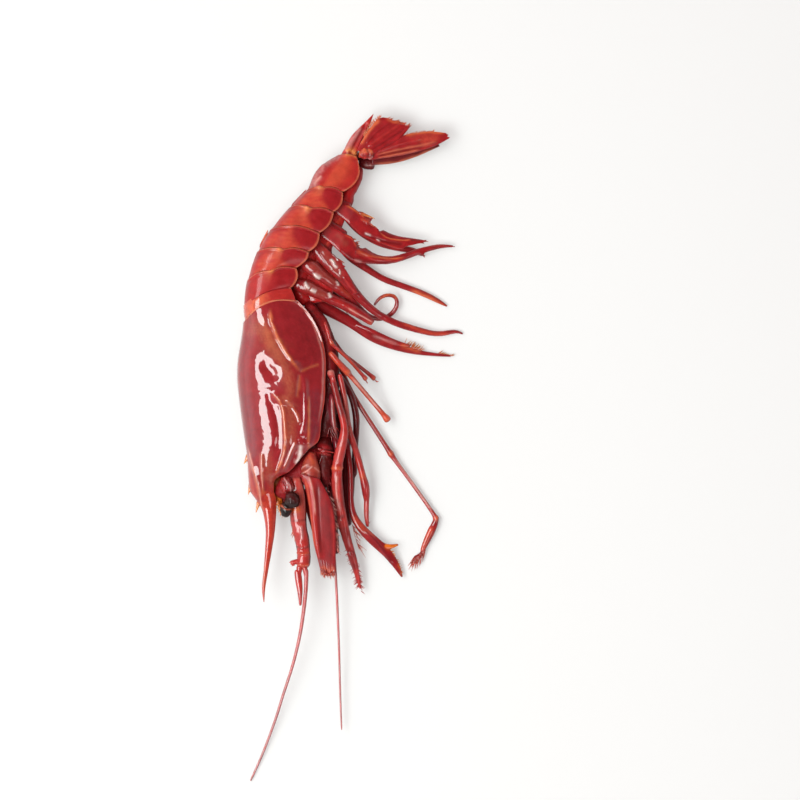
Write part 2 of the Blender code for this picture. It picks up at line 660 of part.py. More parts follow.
def ladder(left, right):
    """The faces of a cap that joins two rows of ring points, rung by rung."""
    faces = []
    for index in range(len(left) - 1):
        corners = (left[index], left[index + 1], right[index + 1], right[index])
        faces.append(tuple(dict.fromkeys(corners)))
    return faces


def oval_cap(ring):
    """The cap of a limb's oval ring."""
    half = len(ring) // 2
    return ladder(list(range(half)), list(range(len(ring) - 1, half - 1, -1)))


def shell_cap(ring):
    """The cap of a rib's outline, with the side flaps that stand out past the recessed belly."""
    root, other_root = SIDE_POINTS + 1, SIDE_POINTS + 2
    last = FLAP_START
    left = list(range(last + 1)) + [root]
    right = [0] + [len(ring) - index for index in range(1, last + 1)] + [other_root]
    faces = ladder(left, right)
    for index in range(last, SIDE_POINTS):
        faces.append((root, index, index + 1))
        faces.append((other_root, len(ring) - index, len(ring) - index - 1))
    return faces


def loft(name, rings, cap):
    """A closed mesh through rings with the same number of points, capped at both ends."""
    shape = bmesh.new()
    rows = [[shape.verts.new(point * MM) for point in ring] for ring in rings]
    for lower, upper in zip(rows, rows[1:]):
        for index in range(len(lower)):
            after = (index + 1) % len(lower)
            shape.faces.new((lower[index], lower[after], upper[after], upper[index]))
    for row in (rows[0], rows[-1]):
        for corners in cap(row):
            shape.faces.new([row[index] for index in corners])
    bmesh.ops.recalc_face_normals(shape, faces=shape.faces)
    bmesh.ops.triangulate(shape, faces=shape.faces)
    mesh = bpy.data.meshes.new(name)
    shape.to_mesh(mesh)
    shape.free()
    return mesh


def limb(name, rows, sides):
    """A limb lofted through its stations, with level oval sections."""
    per_span = SPAN_STEPS if len(rows) < MANY_STATIONS else 1
    stations = [Station(*row) for row in smooth(rows, per_span)]
    places = [Vector((s.x, s.y, s.z)) for s in stations]
    rings = []
    for index, station in enumerate(stations):
        along = places[min(index + 1, len(places) - 1)] - places[max(index - 1, 0)]
        rings.append(
            section(places[index], along.normalized(), station.half_width, station.half_thickness, sides)
        )
    return loft(name, rings, oval_cap)


def mirrored(rows, height, shift=Vector()):
    """The stations of the other side's limb, through a level plane at this height."""
    return [
        (x + shift.x, y + shift.y, 2 * height - z, half_width, half_thickness)
        for x, y, z, half_width, half_thickness in rows
    ]


def spike(name, base, tip, radius):
    """A pointed cone from a base inside its carrier to a free tip."""
    base, tip = Vector(base), Vector(tip)
    along = tip - base
    shape = bmesh.new()
    bmesh.ops.create_cone(
        shape, cap_ends=True, segments=SPINE_SIDES,
        radius1=radius * MM, radius2=SPINE_TIP * MM, depth=along.length * MM,
    )
    turn = along.to_track_quat("Z", "Y").to_matrix().to_4x4()
    bmesh.ops.transform(
        shape, matrix=Matrix.Translation((base + tip) / 2 * MM) @ turn, verts=shape.verts
    )
    mesh = bpy.data.meshes.new(name)
    shape.to_mesh(mesh)
    shape.free()
    return mesh


def ball(name, centre, radii):
    """An ellipsoid."""
    shape = bmesh.new()
    bmesh.ops.create_uvsphere(shape, u_segments=BALL_SEGMENTS, v_segments=BALL_RINGS, radius=MM)
    stretch = Matrix.Diagonal((*radii, 1.0))
    bmesh.ops.transform(shape, matrix=Matrix.Translation(Vector(centre) * MM) @ stretch, verts=shape.verts)
    mesh = bpy.data.meshes.new(name)
    shape.to_mesh(mesh)
    shape.free()
    return mesh


def fused(name, meshes):
    """Meshes that overlap, joined into one closed mesh by Boolean unions."""
    carrier = bpy.data.objects.new(name + "_carrier", meshes[0])
    others = bpy.data.collections.new(name + "_others")
    bpy.context.scene.collection.objects.link(carrier)
    for mesh in meshes[1:]:
        others.objects.link(bpy.data.objects.new(mesh.name, mesh))
    union = carrier.modifiers.new("union", "BOOLEAN")
    union.operation = "UNION"
    union.operand_type = "COLLECTION"
    union.collection = others
    union.solver = "EXACT"
    bpy.context.view_layer.update()
    graph = bpy.context.evaluated_depsgraph_get()
    made = bpy.data.meshes.new_from_object(carrier.evaluated_get(graph), depsgraph=graph)
    made.name = name
    for obj in [carrier, *others.objects]:
        bpy.data.objects.remove(obj, do_unlink=True)
    bpy.data.collections.remove(others)
    return made


def feeler(name, rows, colour):
    """A tapered feeler: a smooth wire with a radius at each point."""
    curve = bpy.data.curves.new(name, "CURVE")
    curve.dimensions = "3D"
    curve.bevel_depth = MM
    curve.bevel_resolution = 1
    curve.use_fill_caps = True
    points = smooth(rows, SPAN_STEPS)
    spline = curve.splines.new("POLY")
    spline.points.add(len(points) - 1)
    for point, (x, y, z, radius) in zip(spline.points, points):
        point.co = (x * MM, y * MM, z * MM, 1.0)
        point.radius = radius
    curve.materials.append(material(name + "_finish", colour))
    obj = bpy.data.objects.new(name, curve)
    COLLECTION.objects.link(obj)
    return obj


def make_shield():
    """The head shield with its rostrum and the three teeth on its crest, as one piece."""
    rings = [rib_outline(SHIELD_RIBS[0], margin=SHIELD_REAR)]
    rings += [rib_outline(rib) for rib in SHIELD_RIBS[1:]]
    meshes = [loft("shield", rings, shell_cap)]
    for index, (base, tip, radius) in enumerate(SHIELD_SPINES):
        meshes.append(spike(f"shield_tooth_{index}", base, tip, radius))
    add_object("carapace", fused("carapace", meshes), SHELL_RED)


def make_waist():
    """The soft ring between the head shield and the first tail segment."""
    first = rib_outline(SHIELD_RIBS[0], WAIST_TUCK, SHIELD_REAR, WAIST_CLEARANCE)
    last = rib_outline(TAIL_RIBS[0], WAIST_TUCK, TAIL_MARGINS[0], -WAIST_CLEARANCE)
    middle = [(a + b) / 2 for a, b in zip(first, last)]
    add_object("waist_membrane", loft("waist_membrane", [first, middle, last], shell_cap), FLESH_ORANGE)


def swollen(rib, share, lobe, back_swell):
    """A tail rib with its belly edge and its back pushed out as far as the segment swells there."""
    back, belly = Vector(rib.back), Vector(rib.belly)
    across = (belly - back).normalized()
    belly_out = lobe * math.sin(math.pi * share ** LOBE_POWER)
    back_out = back_swell * math.sin(math.pi * share ** BACK_POWER)
    return rib._replace(back=tuple(back - across * back_out), belly=tuple(belly + across * belly_out))


def segment_rings(number):
    """The rings of one tail segment, whose front is tucked under the segment before it."""
    front, rear = TAIL_RIBS[number - 1], TAIL_RIBS[number]
    is_last = number == len(TAIL_RIBS) - 1
    lobe = LAST_LOBE if is_last else LOBE
    back_swell = LAST_BACK_SWELL if is_last else BACK_SWELL
    steps = LAST_SEGMENT_STEPS if is_last else SEGMENT_STEPS
    rings = [rib_outline(front, TUCK, TAIL_MARGINS[number - 1], GAP)]
    for step in range(1, steps):
        share = step / steps
        margin = Margin(*(
            a + (b - a) * share for a, b in zip(TAIL_MARGINS[number - 1], TAIL_MARGINS[number])
        ))
        rib = swollen(between(front, rear, share), share, lobe, back_swell)
        rings.append(rib_outline(rib, TUCK + (1 - TUCK) * math.sqrt(share), margin))
    rings.append(rib_outline(rear, 1.0, TAIL_MARGINS[number]))
    return rings


def make_tail_segments():
    """The six ringed segments of the tail; the third to the fifth end in a spine on the back."""
    for number in range(1, len(TAIL_RIBS)):
        name = f"somite_{number}"
        mesh = loft(name, segment_rings(number), shell_cap)
        if number in TAIL_SPINES:
            mesh = fused(name, [mesh, spike(name + "_spine", *TAIL_SPINES[number])])
        add_object(name, mesh, PLATE_RED)


def make_tail_fan():
    """The telson and, on each side of it, a base with an inner and an outer blade."""
    add_object("telson", limb("telson", TELSON, BLADE_SIDES), PLATE_RED)
    blades = {"base": FAN_BASE, "inner": FAN_INNER, "outer": FAN_OUTER}
    for part, rows in blades.items():
        shift = FAR_BASE_SHIFT if part == "base" else FAR_BLADE_SHIFT
        for side, stations in (("left", rows), ("right", mirrored(rows, TAIL_HEIGHT, shift))):
            name = f"uropod_{part}_{side}"
            add_object(name, limb(name, stations, BLADE_SIDES), LIMB_RED)


def make_underside():
    """What joins the limbs below the shell: head, mouth, breastplate and the belly of the tail."""
    masses = {"head": HEAD, "mouthparts": MOUTHPARTS, "thorax": THORAX, "tail_belly": TAIL_BELLY}
    for name, rows in masses.items():
        add_object(name, limb(name, rows, LIMB_SIDES), DARK_RED)


def make_legs():
    for name, rows in LEGS.items():
        add_object(name, limb(name, rows, LEG_SIDES), LIMB_RED)
    pincer = [
        limb("pincer", PINCER_LEG, LEG_SIDES),
        limb("pincer_finger", PINCER_FINGER, LEG_SIDES),
    ]
    add_object("leg_2_left", fused("leg_2_left", pincer), LIMB_RED)


def make_swimmerets():
    for name, rows in SWIMMERETS.items():
        mesh = limb(name, rows, LIMB_SIDES)
        if name == "swimmeret_1_right":
            mesh = fused(name, [mesh, limb(name + "_strap", SECOND_STRAP, LEG_SIDES)])
        if name == "swimmeret_5_left":
            mesh = fused(name, [mesh, spike(name + "_spine", *STRAP_SPINE)])
        add_object(name, mesh, LIMB_RED)


def make_eye(side, height):
    """An eye on its stalk; the cornea has two lobes."""
    stalk, balls = EYE_STALK, EYE_BALLS
    if side == "right":
        stalk = mirrored(EYE_STALK, height)
        balls = [((x, y, 2 * height - z), radii) for (x, y, z), radii in EYE_BALLS]
    add_object(f"eyestalk_{side}", limb(f"eyestalk_{side}", stalk, LIMB_SIDES), PLATE_RED)
    lobes = [ball(f"eye_{side}_{index}", *lobe) for index, lobe in enumerate(balls)]
    add_object(f"eye_{side}", fused(f"eye_{side}", lobes), EYE_BLACK)


def make_head_limbs():
    """The eyes, the antennules, and the antennae with their scales."""
    for side in ("left", "right"):
        make_eye(side, SHIELD_HEIGHT)
        limbs = {"antenna_base": ANTENNA_BASE, "antenna_scale": ANTENNA_SCALE, "antennule": ANTENNULE}
        for part, rows in limbs.items():
            name = f"{part}_{side}"
            stations = rows if side == "left" else mirrored(rows, SHIELD_HEIGHT)
            mesh = limb(name, stations, LIMB_SIDES)
            if name == "antennule_left":
                mesh = fused(name, [mesh, limb(name + "_stub", ANTENNULE_STUB, LEG_SIDES)])
            add_object(name, mesh, PLATE_RED)
    short = limb("antennule_flagellum_short", SHORT_FLAGELLUM, LEG_SIDES)
    add_object("antennule_flagellum_short", short, LIMB_RED)
    feeler("antennule_flagellum_long", LONG_FLAGELLUM, LIMB_RED)
    feeler("antenna_flagellum", ANTENNA_FLAGELLUM, LIMB_RED)


clear_scene()
COLLECTION = bpy.data.collections.new("red_prawn")
bpy.context.scene.collection.children.link(COLLECTION)

make_shield()
make_waist()
make_tail_segments()
make_tail_fan()
make_underside()
make_legs()
make_swimmerets()
make_head_limbs()
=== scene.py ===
"""The looks of a raw red prawn that lies on its right side, under soft studio light.

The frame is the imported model's: +X from the back to the belly, +Y from the head to the tail, +Z up.
Lengths are in millimetres, and MM turns them into metres where a mesh is made. Only the stage is
given in metres. What is seen from above is placed by photo pixels, and at() turns those into
millimetres. The shell is rebuilt from the same ribs as the solids, finer and with relief. Each limb
is its solid's own mesh, rounded.
"""

import math
from collections import namedtuple

import bmesh
import bpy
import numpy as np
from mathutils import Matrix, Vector


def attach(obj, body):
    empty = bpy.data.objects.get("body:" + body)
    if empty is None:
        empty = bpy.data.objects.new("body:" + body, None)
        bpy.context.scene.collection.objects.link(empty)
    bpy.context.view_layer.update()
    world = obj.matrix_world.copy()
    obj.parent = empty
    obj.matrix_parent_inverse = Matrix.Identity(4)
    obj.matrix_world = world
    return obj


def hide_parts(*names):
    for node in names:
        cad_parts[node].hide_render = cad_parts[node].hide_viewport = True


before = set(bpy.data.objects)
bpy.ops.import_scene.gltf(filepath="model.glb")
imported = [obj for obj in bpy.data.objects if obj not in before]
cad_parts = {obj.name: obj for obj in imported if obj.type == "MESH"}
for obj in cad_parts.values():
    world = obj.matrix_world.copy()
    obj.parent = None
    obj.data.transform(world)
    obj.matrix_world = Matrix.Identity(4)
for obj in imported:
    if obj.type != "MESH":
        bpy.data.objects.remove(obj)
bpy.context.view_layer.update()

MM = 0.001
PIXEL = 0.5
PHOTO_ORIGIN = (350.0, 448.0)
PHOTO_CENTRE = (400, 400)
SEED = 11

# A rib of the shell: the plan places of its back and its belly, half its width and the height of its
# middle, the share of its width that is left at the belly, how far the belly is set in, and how far
# the rib bows and its two sides bulge to the rear.
Rib = namedtuple("Rib", "back belly half_width height edge recess arc scallop", defaults=(0.0, 0.0))
Stroke = namedtuple("Stroke", "path width height colour strength flank")
# Sizes of the blotches and the grains, how much shows through the skin, and how dull the film is.
Finish = namedtuple("Finish", "roughness patches grain bump flesh film coat", defaults=(1.0,))
# What a solid gets: fatter is how much it grows all round, and beads how bumpy it is.
Look = namedtuple("Look", "finish slot base fatter beads strokes", defaults=(0.1, 0.0, ()))
# The edges run from the root to the tip, like the levels and the half thicknesses at both. Ragged is
# the share of the length that the teeth at the tip take.
Blade = namedtuple("Blade", "left right levels thickness ragged base strokes")
# Hairs lean in a direction in the photo, and their levels run along the path that they stand on.
Horn = namedtuple("Horn", "base tip radius root_colour tip_colour")
Fringe = namedtuple("Fringe", "path levels lean length count radius root_colour tip_colour")
Lamp = namedtuple("Lamp", "name place size radiance glossy tone", defaults=(False, (1.0, 1.0, 1.0)))

# The stage, in metres, with the lens and its sensor in millimetres. Under its lights a surface looks
# brighter than its own colour, EXPOSURE times.
EXPOSURE = 1.85
LENS = 450.0
SENSOR = 36.0
CAMERA_HEIGHT = 5.012
FLOOR_REACH = 4.0
FLOOR_COLOUR = (0.33, 0.31, 0.305, 1.0)
FLOOR_GLOW = (1.0, 0.96, 0.95, 1.0)
FLOOR_GLOW_STRENGTH = 0.34
FLOOR_ROUGHNESS = 0.9
# How bright the surroundings are at heights from the horizon, 0, to straight overhead, 1.
SKY_GREYS = [(0.0, 1.0), (0.3, 0.75), (0.62, 0.1), (1.0, 0.04)]
# The glow on the back's side: its direction, the cosine from it where it starts, and its strength.
BACK_GLOW_FROM = (-0.95, 0.0, 0.31)
BACK_GLOW_START = 0.55
BACK_GLOW = 0.6
LAMPS = [
    Lamp("softbox", (-0.5, -0.18, 1.05), (1.0, 0.46), 11.5, True, (0.84, 1.0, 0.99)),
    Lamp("front_panel", (0.5, -0.55, 0.95), (0.25, 0.25), 5.0, True),
    Lamp("key", (-0.7, 0.7, 1.1), (0.5, 0.5), 3.0),
    Lamp("fill", (-0.9, 0.2, 2.3), (3.0, 3.0), 2.9),
]


def colour(red, green, blue):
    """A surface colour, from how bright it looks under this scene's light."""
    seen = np.array([red, green, blue]) / 255
    linear = np.where(seen < 0.04045, seen / 12.92, ((seen + 0.055) / 1.055) ** 2.4)
    return linear / EXPOSURE


def at(*spots):
    """Photo pixels as places in the frame's plane, in millimetres."""
    return (np.array(spots, float) - PHOTO_ORIGIN) * (PIXEL, -PIXEL)


def patch(width, tint, strength, *spots):
    """A stroke of colour through photo pixels."""
    return Stroke(at(*spots), width, 0.0, tint, strength, None)


def ridge(width, height, tint, strength, *spots, flank=None):
    """A coloured ridge, or a groove where its height is negative. Its left side may be wider: flank."""
    return Stroke(at(*spots), width, height, tint, strength, flank)


def bump(width, height, *spots, flank=None):
    """A ridge or groove that leaves the colour as it is."""
    return Stroke(at(*spots), width, height, None, 0.0, flank)


SHIELD_RED = colour(158, 30, 36)
SHIELD_DARK = colour(122, 20, 25)
SHIELD_PURPLE = colour(130, 40, 50)
RIDGE_ORANGE = colour(212, 108, 68)
EDGE_ORANGE = colour(190, 60, 44)
MOTTLED = colour(178, 86, 62)
ROSTRUM_PINK = colour(212, 64, 40)
TOOTH_ORANGE = colour(244, 148, 70)
TRANSLUCENT_ORANGE = colour(250, 122, 30)
PLATE_RED = colour(190, 44, 40)
PLATE_ORANGE = colour(206, 74, 50)
PLEURON_RED = colour(164, 28, 33)
RIM_ORANGE = colour(226, 116, 82)
# Pale pink: the colour of knobs and hair tips, and of painted highlight lines on ridges, legs and edges.
PALE_PINK_AND_HIGHLIGHT = colour(224, 150, 138)
HINGE_ORANGE = colour(240, 146, 76)
WAIST_ORANGE = colour(218, 92, 58)
LIMB_RED = colour(154, 26, 30)
LIMB_BRIGHT = colour(188, 48, 44)
# Dark red: the limbs' own dark joints, grooves and streaks, and painted shade on the sides of limbs and on
# the far-side limbs that lie underneath.
LIMB_DARK_AND_SHADE = colour(112, 18, 22)
LIMB_PURPLE = colour(118, 26, 36)
JOINT_ORANGE = colour(216, 90, 56)
LEG_ORANGE = colour(212, 74, 50)
LEG_PINK = colour(196, 84, 74)
# Pink glints: painted highlights and painted sheen, most of them on ridges that catch the real light too.
GLINT_PINK = colour(214, 150, 146)
# Brown on the glassy tops of the swimming legs' roots: the shell's own brown with a painted sheen.
GLASSY_SHEEN_BROWN = colour(166, 66, 56)
# White flecks: painted highlights, on small ridges that catch the real light too.
PAINTED_HIGHLIGHT_WHITE = colour(240, 212, 204)
SKIN_RED = colour(184, 24, 26)
CUP_ORANGE = colour(168, 62, 46)
SCALE_RED = colour(146, 24, 28)
FLESH_RED = colour(146, 26, 30)
# Dark flesh: the flesh's red, painted darker for the shade in the gaps under the shield and between the
# limbs.
SHADE_DARKENED_FLESH = colour(84, 12, 12)
FEELER_PINK = colour(190, 100, 100)
FEELER_ROSE = colour(204, 92, 90)
BLADE_RED = colour(162, 26, 30)
BLADE_ORANGE = colour(226, 104, 62)
EYE_BROWN = colour(38, 14, 11)
EYE_BLACK = colour(16, 12, 12)

# The shield's middle lies lower than the solid's, so that its relief stays within the solid's height.
SHIELD_HEIGHT = 14.5
SHIELD_RIBS = [
    Rib((-53.5, 62.5), (-26.0, 73.5), 13.8, 13.3, 0.74, 2.5, 5.0),
    Rib((-54.0, 57.5), (-19.0, 65.5), 14.7, 14.0, 0.68, 2.5),
    Rib((-55.0, 51.5), (-14.0, 55.0), 15.6, SHIELD_HEIGHT, 0.64, 2.5),
    Rib((-56.2, 44.0), (-12.0, 44.0), 16.0, SHIELD_HEIGHT, 0.62, 2.5),
    Rib((-56.5, 34.5), (-12.2, 34.0), 16.2, SHIELD_HEIGHT, 0.62, 2.5),
    Rib((-55.5, 24.0), (-12.5, 24.0), 16.1, SHIELD_HEIGHT, 0.63, 2.5),
    Rib((-54.2, 14.0), (-14.2, 14.0), 15.6, SHIELD_HEIGHT, 0.65, 2.5),
    Rib((-53.0, 5.5), (-15.5, 4.0), 14.3, SHIELD_HEIGHT, 0.68, 2.3),
    Rib((-51.8, -2.0), (-21.0, -1.0), 12.7, SHIELD_HEIGHT, 0.76, 2.0),
    Rib((-51.2, -10.0), (-29.5, -11.0), 10.6, SHIELD_HEIGHT, 0.8, 1.6),
    Rib((-50.8, -16.0), (-37.0, -15.5), 8.4, SHIELD_HEIGHT, 0.8, 1.0),
    Rib((-50.0, -21.5), (-38.0, -21.0), 6.4, SHIELD_HEIGHT, 0.72, 0.8),
    Rib((-47.0, -26.0), (-36.8, -26.0), 4.6, SHIELD_HEIGHT, 0.6, 0.6),
    Rib((-43.8, -31.5), (-36.8, -31.5), 3.2, SHIELD_HEIGHT, 0.5, 0.4),
    Rib((-42.2, -41.0), (-37.5, -41.0), 2.3, SHIELD_HEIGHT, 0.5, 0.3),
    Rib((-42.5, -51.0), (-39.0, -51.0), 1.8, SHIELD_HEIGHT, 0.5, 0.2),
    Rib((-43.2, -61.0), (-40.8, -61.0), 1.4, SHIELD_HEIGHT, 0.5, 0.2),
    Rib((-44.0, -70.0), (-42.3, -70.0), 0.9, SHIELD_HEIGHT, 0.5, 0.1),
    Rib((-43.2, -77.0), (-42.8, -77.0), 0.3, SHIELD_HEIGHT, 0.5, 0.05),
]
TAIL_RIBS = [
    Rib((-53.5, 69.0), (-28.5, 80.0), 13.5, 13.2, 0.78, 4.0, 3.0),
    Rib((-51.5, 83.5), (-26.5, 89.5), 13.7, 13.1, 0.78, 4.0, 1.7, 1.3),
    Rib((-46.5, 98.0), (-20.3, 97.5), 13.7, 13.1, 0.78, 4.0, 1.2, 1.2),
    Rib((-39.5, 109.5), (-15.0, 107.0), 13.1, 12.5, 0.78, 4.0, 2.7),
    Rib((-30.0, 120.5), (-8.0, 117.5), 11.9, 11.3, 0.78, 3.6, 0.6, 1.1),
    Rib((-22.0, 128.5), (-3.5, 127.5), 10.5, 9.9, 0.78, 3.0, 2.0, 0.8),
    Rib((-6.0, 146.5), (3.5, 145.5), 6.3, 9.0, 0.8, 1.5, 0.8),
]

# A segment's rows before and after its own, as (share of its length, scale, shift to the rear): its
# front runs in under the part before it, and its rear edge turns under.
TUCK = 0.95
GAP = 0.35
SEGMENT_FRONT = [(-0.12, TUCK - 0.06, -1.6), (-0.06, TUCK - 0.03, -0.8)]
SEGMENT_EDGE = [(1.0, 0.975, 0.1), (1.0, 0.94, -0.5)]
LAST_SEGMENT = len(TAIL_RIBS) - 1
LOBE = 2.0
LAST_LOBE = 5.0
BACK_SWELL = 0.3
LAST_BACK_SWELL = 3.8
WAIST_TUCK = 0.92
WAIST_SWELL = 0.03
WAIST_REACH = 1.5
# The shield's rear edge turns under too: (scale, shift to the rear), from the inside out.
SHIELD_RIM = [(0.93, -0.6), (0.965, 0.15)]
# How the shell bends round from the back to the belly, and where the flaps at its sides start.
WIDEST_AT = 0.45
ROUNDNESS = 2.4
CROWDING = 0.45
FLAP_ROOT = 0.88
FLAP_START = 0.86

# The head shield dips towards its rear, between these places along the body.
DIP_SPAN = (44.0, 59.0)
REAR_DIP = 1.1
# Relief is full where a rib's half width is this, and this share of it is left on the thin rostrum.
FULL_RELIEF_HALF_WIDTH = 12.0
LEAST_RELIEF = 0.15
# Shares of the depth up to which relief rises from the back, and from which it falls to the belly.
SHIELD_CALM = (0.1, 0.97)
SEGMENT_CALM = (0.08, 0.96)
# Height, centre and width of the bead and groove along a segment's rear edge, and of its hinge's marks.
EDGE_BEAD = (0.22, 0.965, 0.03)
EDGE_GROOVE = (-0.12, 0.88, 0.05)
HINGE_KNOB = (0.5, 0.0, 1.3)
HINGE_SPOT = (0.9, 0.0, 1.2)
HINGE_HALO = (0.5, 0.0, 4.0)

# How finely pieces are made, and the paths of strokes and edges. A stroke of one spot is this long.
SIDE_POINTS = 100
SHIELD_STEPS = 14
SEGMENT_STEPS = 44
SEGMENT_SIDE_POINTS = 60
WAIST_STEPS = 30
LIMB_LEVELS = 3
BLADE_ROWS = 90
BLADE_COLUMNS = 44
STROKE_STEPS = 4
CURVE_STEPS = 8
SPOT_LENGTH = 0.01

# A solid's triangles are welded and joined to quads, up to these angles in degrees, to be rounded.
WELD = 0.001
QUAD_FOLD = 45
QUAD_SKEW = 70

# Random ripples, and how strokes waver, fade at their ends and break up where they are wide.
WAVES = 9
WAVE_SPREAD = (0.6, 1.7)
WAVER = 0.35
WAVER_SIZE = 5.0
FADE_RATE = 7
PATCHY_WIDTH = 2
PATCHY_BASE = 0.75
PATCHY_SIZE = 1.6
MOTTLE = 0.14
BEAD_SIZE = 1.3

# Blades: their ragged teeth, and how thin and low they are at the rim.
TOOTH_SIZE = 1.6
RAGGED_FROM = 0.6
TIP_RATE = 9
THIN_RIM = 0.15
LOW_RIM = 0.2

# Horns are a little flat. Hairs spread by an angle in radians, and droop by a share of their length.
HORN_FLATNESS = 0.7
HORN_TIP = 0.04
FRINGE_PLACES = 40
HAIR_SIDES = 5
HAIR_STEPS = 3
HAIR_SPREAD = 0.22
HAIR_LENGTHS = (0.55, 1.15)
HAIR_FALL = 0.25

# Every wet surface: how its noises spread into lightness and roughness, its film and its flesh.
NOISE_RANGE = (0.3, 0.7)
BLOTCH_RANGE = (0.88, 1.12)
GRAIN_RANGE = (0.94, 1.06)
ROUGHNESS_RANGE = (0.8, 1.3)
BLOTCH_DETAIL = 3.0
GRAIN_DETAIL = 2.0
BUMP_DEPTH = 0.3
FILM_IOR = 1.6
DULL_SPECULAR = 0.1
FLESH_RADII = (1.0, 0.22, 0.12)
FLESH_DEPTH = 2.0
FINISHES = {
    "shield": Finish(roughness=0.4, patches=4.0, grain=0.9, bump=0.02, flesh=0.1, film=0.04),
    "ring": Finish(roughness=0.42, patches=4.0, grain=0.9, bump=0.08, flesh=0.1, film=0.2, coat=0.28),
    "blade": Finish(roughness=0.42, patches=3.0, grain=0.7, bump=0.15, flesh=0.1, film=0.16, coat=0.45),
    "limb": Finish(roughness=0.4, patches=3.0, grain=0.7, bump=0.05, flesh=0.1, film=0.06, coat=0.65),
    "beaded": Finish(roughness=0.45, patches=3.0, grain=0.9, bump=0.6, flesh=0.1, film=0.12, coat=0.5),
    "strap": Finish(roughness=0.42, patches=3.0, grain=0.7, bump=0.12, flesh=0.1, film=0.09, coat=0.7),
    "soft": Finish(roughness=0.45, patches=2.5, grain=0.6, bump=0.12, flesh=0.25, film=0.12, coat=0.8),
    "cup": Finish(roughness=0.45, patches=3.0, grain=1.0, bump=0.1, flesh=0.2, film=0.3, coat=0.3),
    "gill": Finish(roughness=0.5, patches=2.0, grain=1.1, bump=1.0, flesh=0.1, film=0.3, coat=0.05),
    "feeler": Finish(roughness=0.4, patches=3.0, grain=0.5, bump=0.05, flesh=0.2, film=0.15),
    "eye": Finish(roughness=0.5, patches=1.0, grain=0.5, bump=0.15, flesh=0.0, film=0.05, coat=0.4),
}

# Painted shade and painted rim light: what colour the sides of a limb turn to, by its finish, and how steep
# those sides are. The dark colours are painted shade on sides that face away from overhead. The orange on
# straps is painted light through their thin edges.
SIDE_SHADE_AND_RIM_LIGHT_COLOURS = {
    "limb": LIMB_DARK_AND_SHADE,
    "beaded": LIMB_DARK_AND_SHADE,
    "strap": LEG_ORANGE,
    "soft": SHADE_DARKENED_FLESH,
    "gill": SHADE_DARKENED_FLESH,
}
SIDE_SHADE = 0.6
SIDE_SLOPES = (0.6, 0.1)

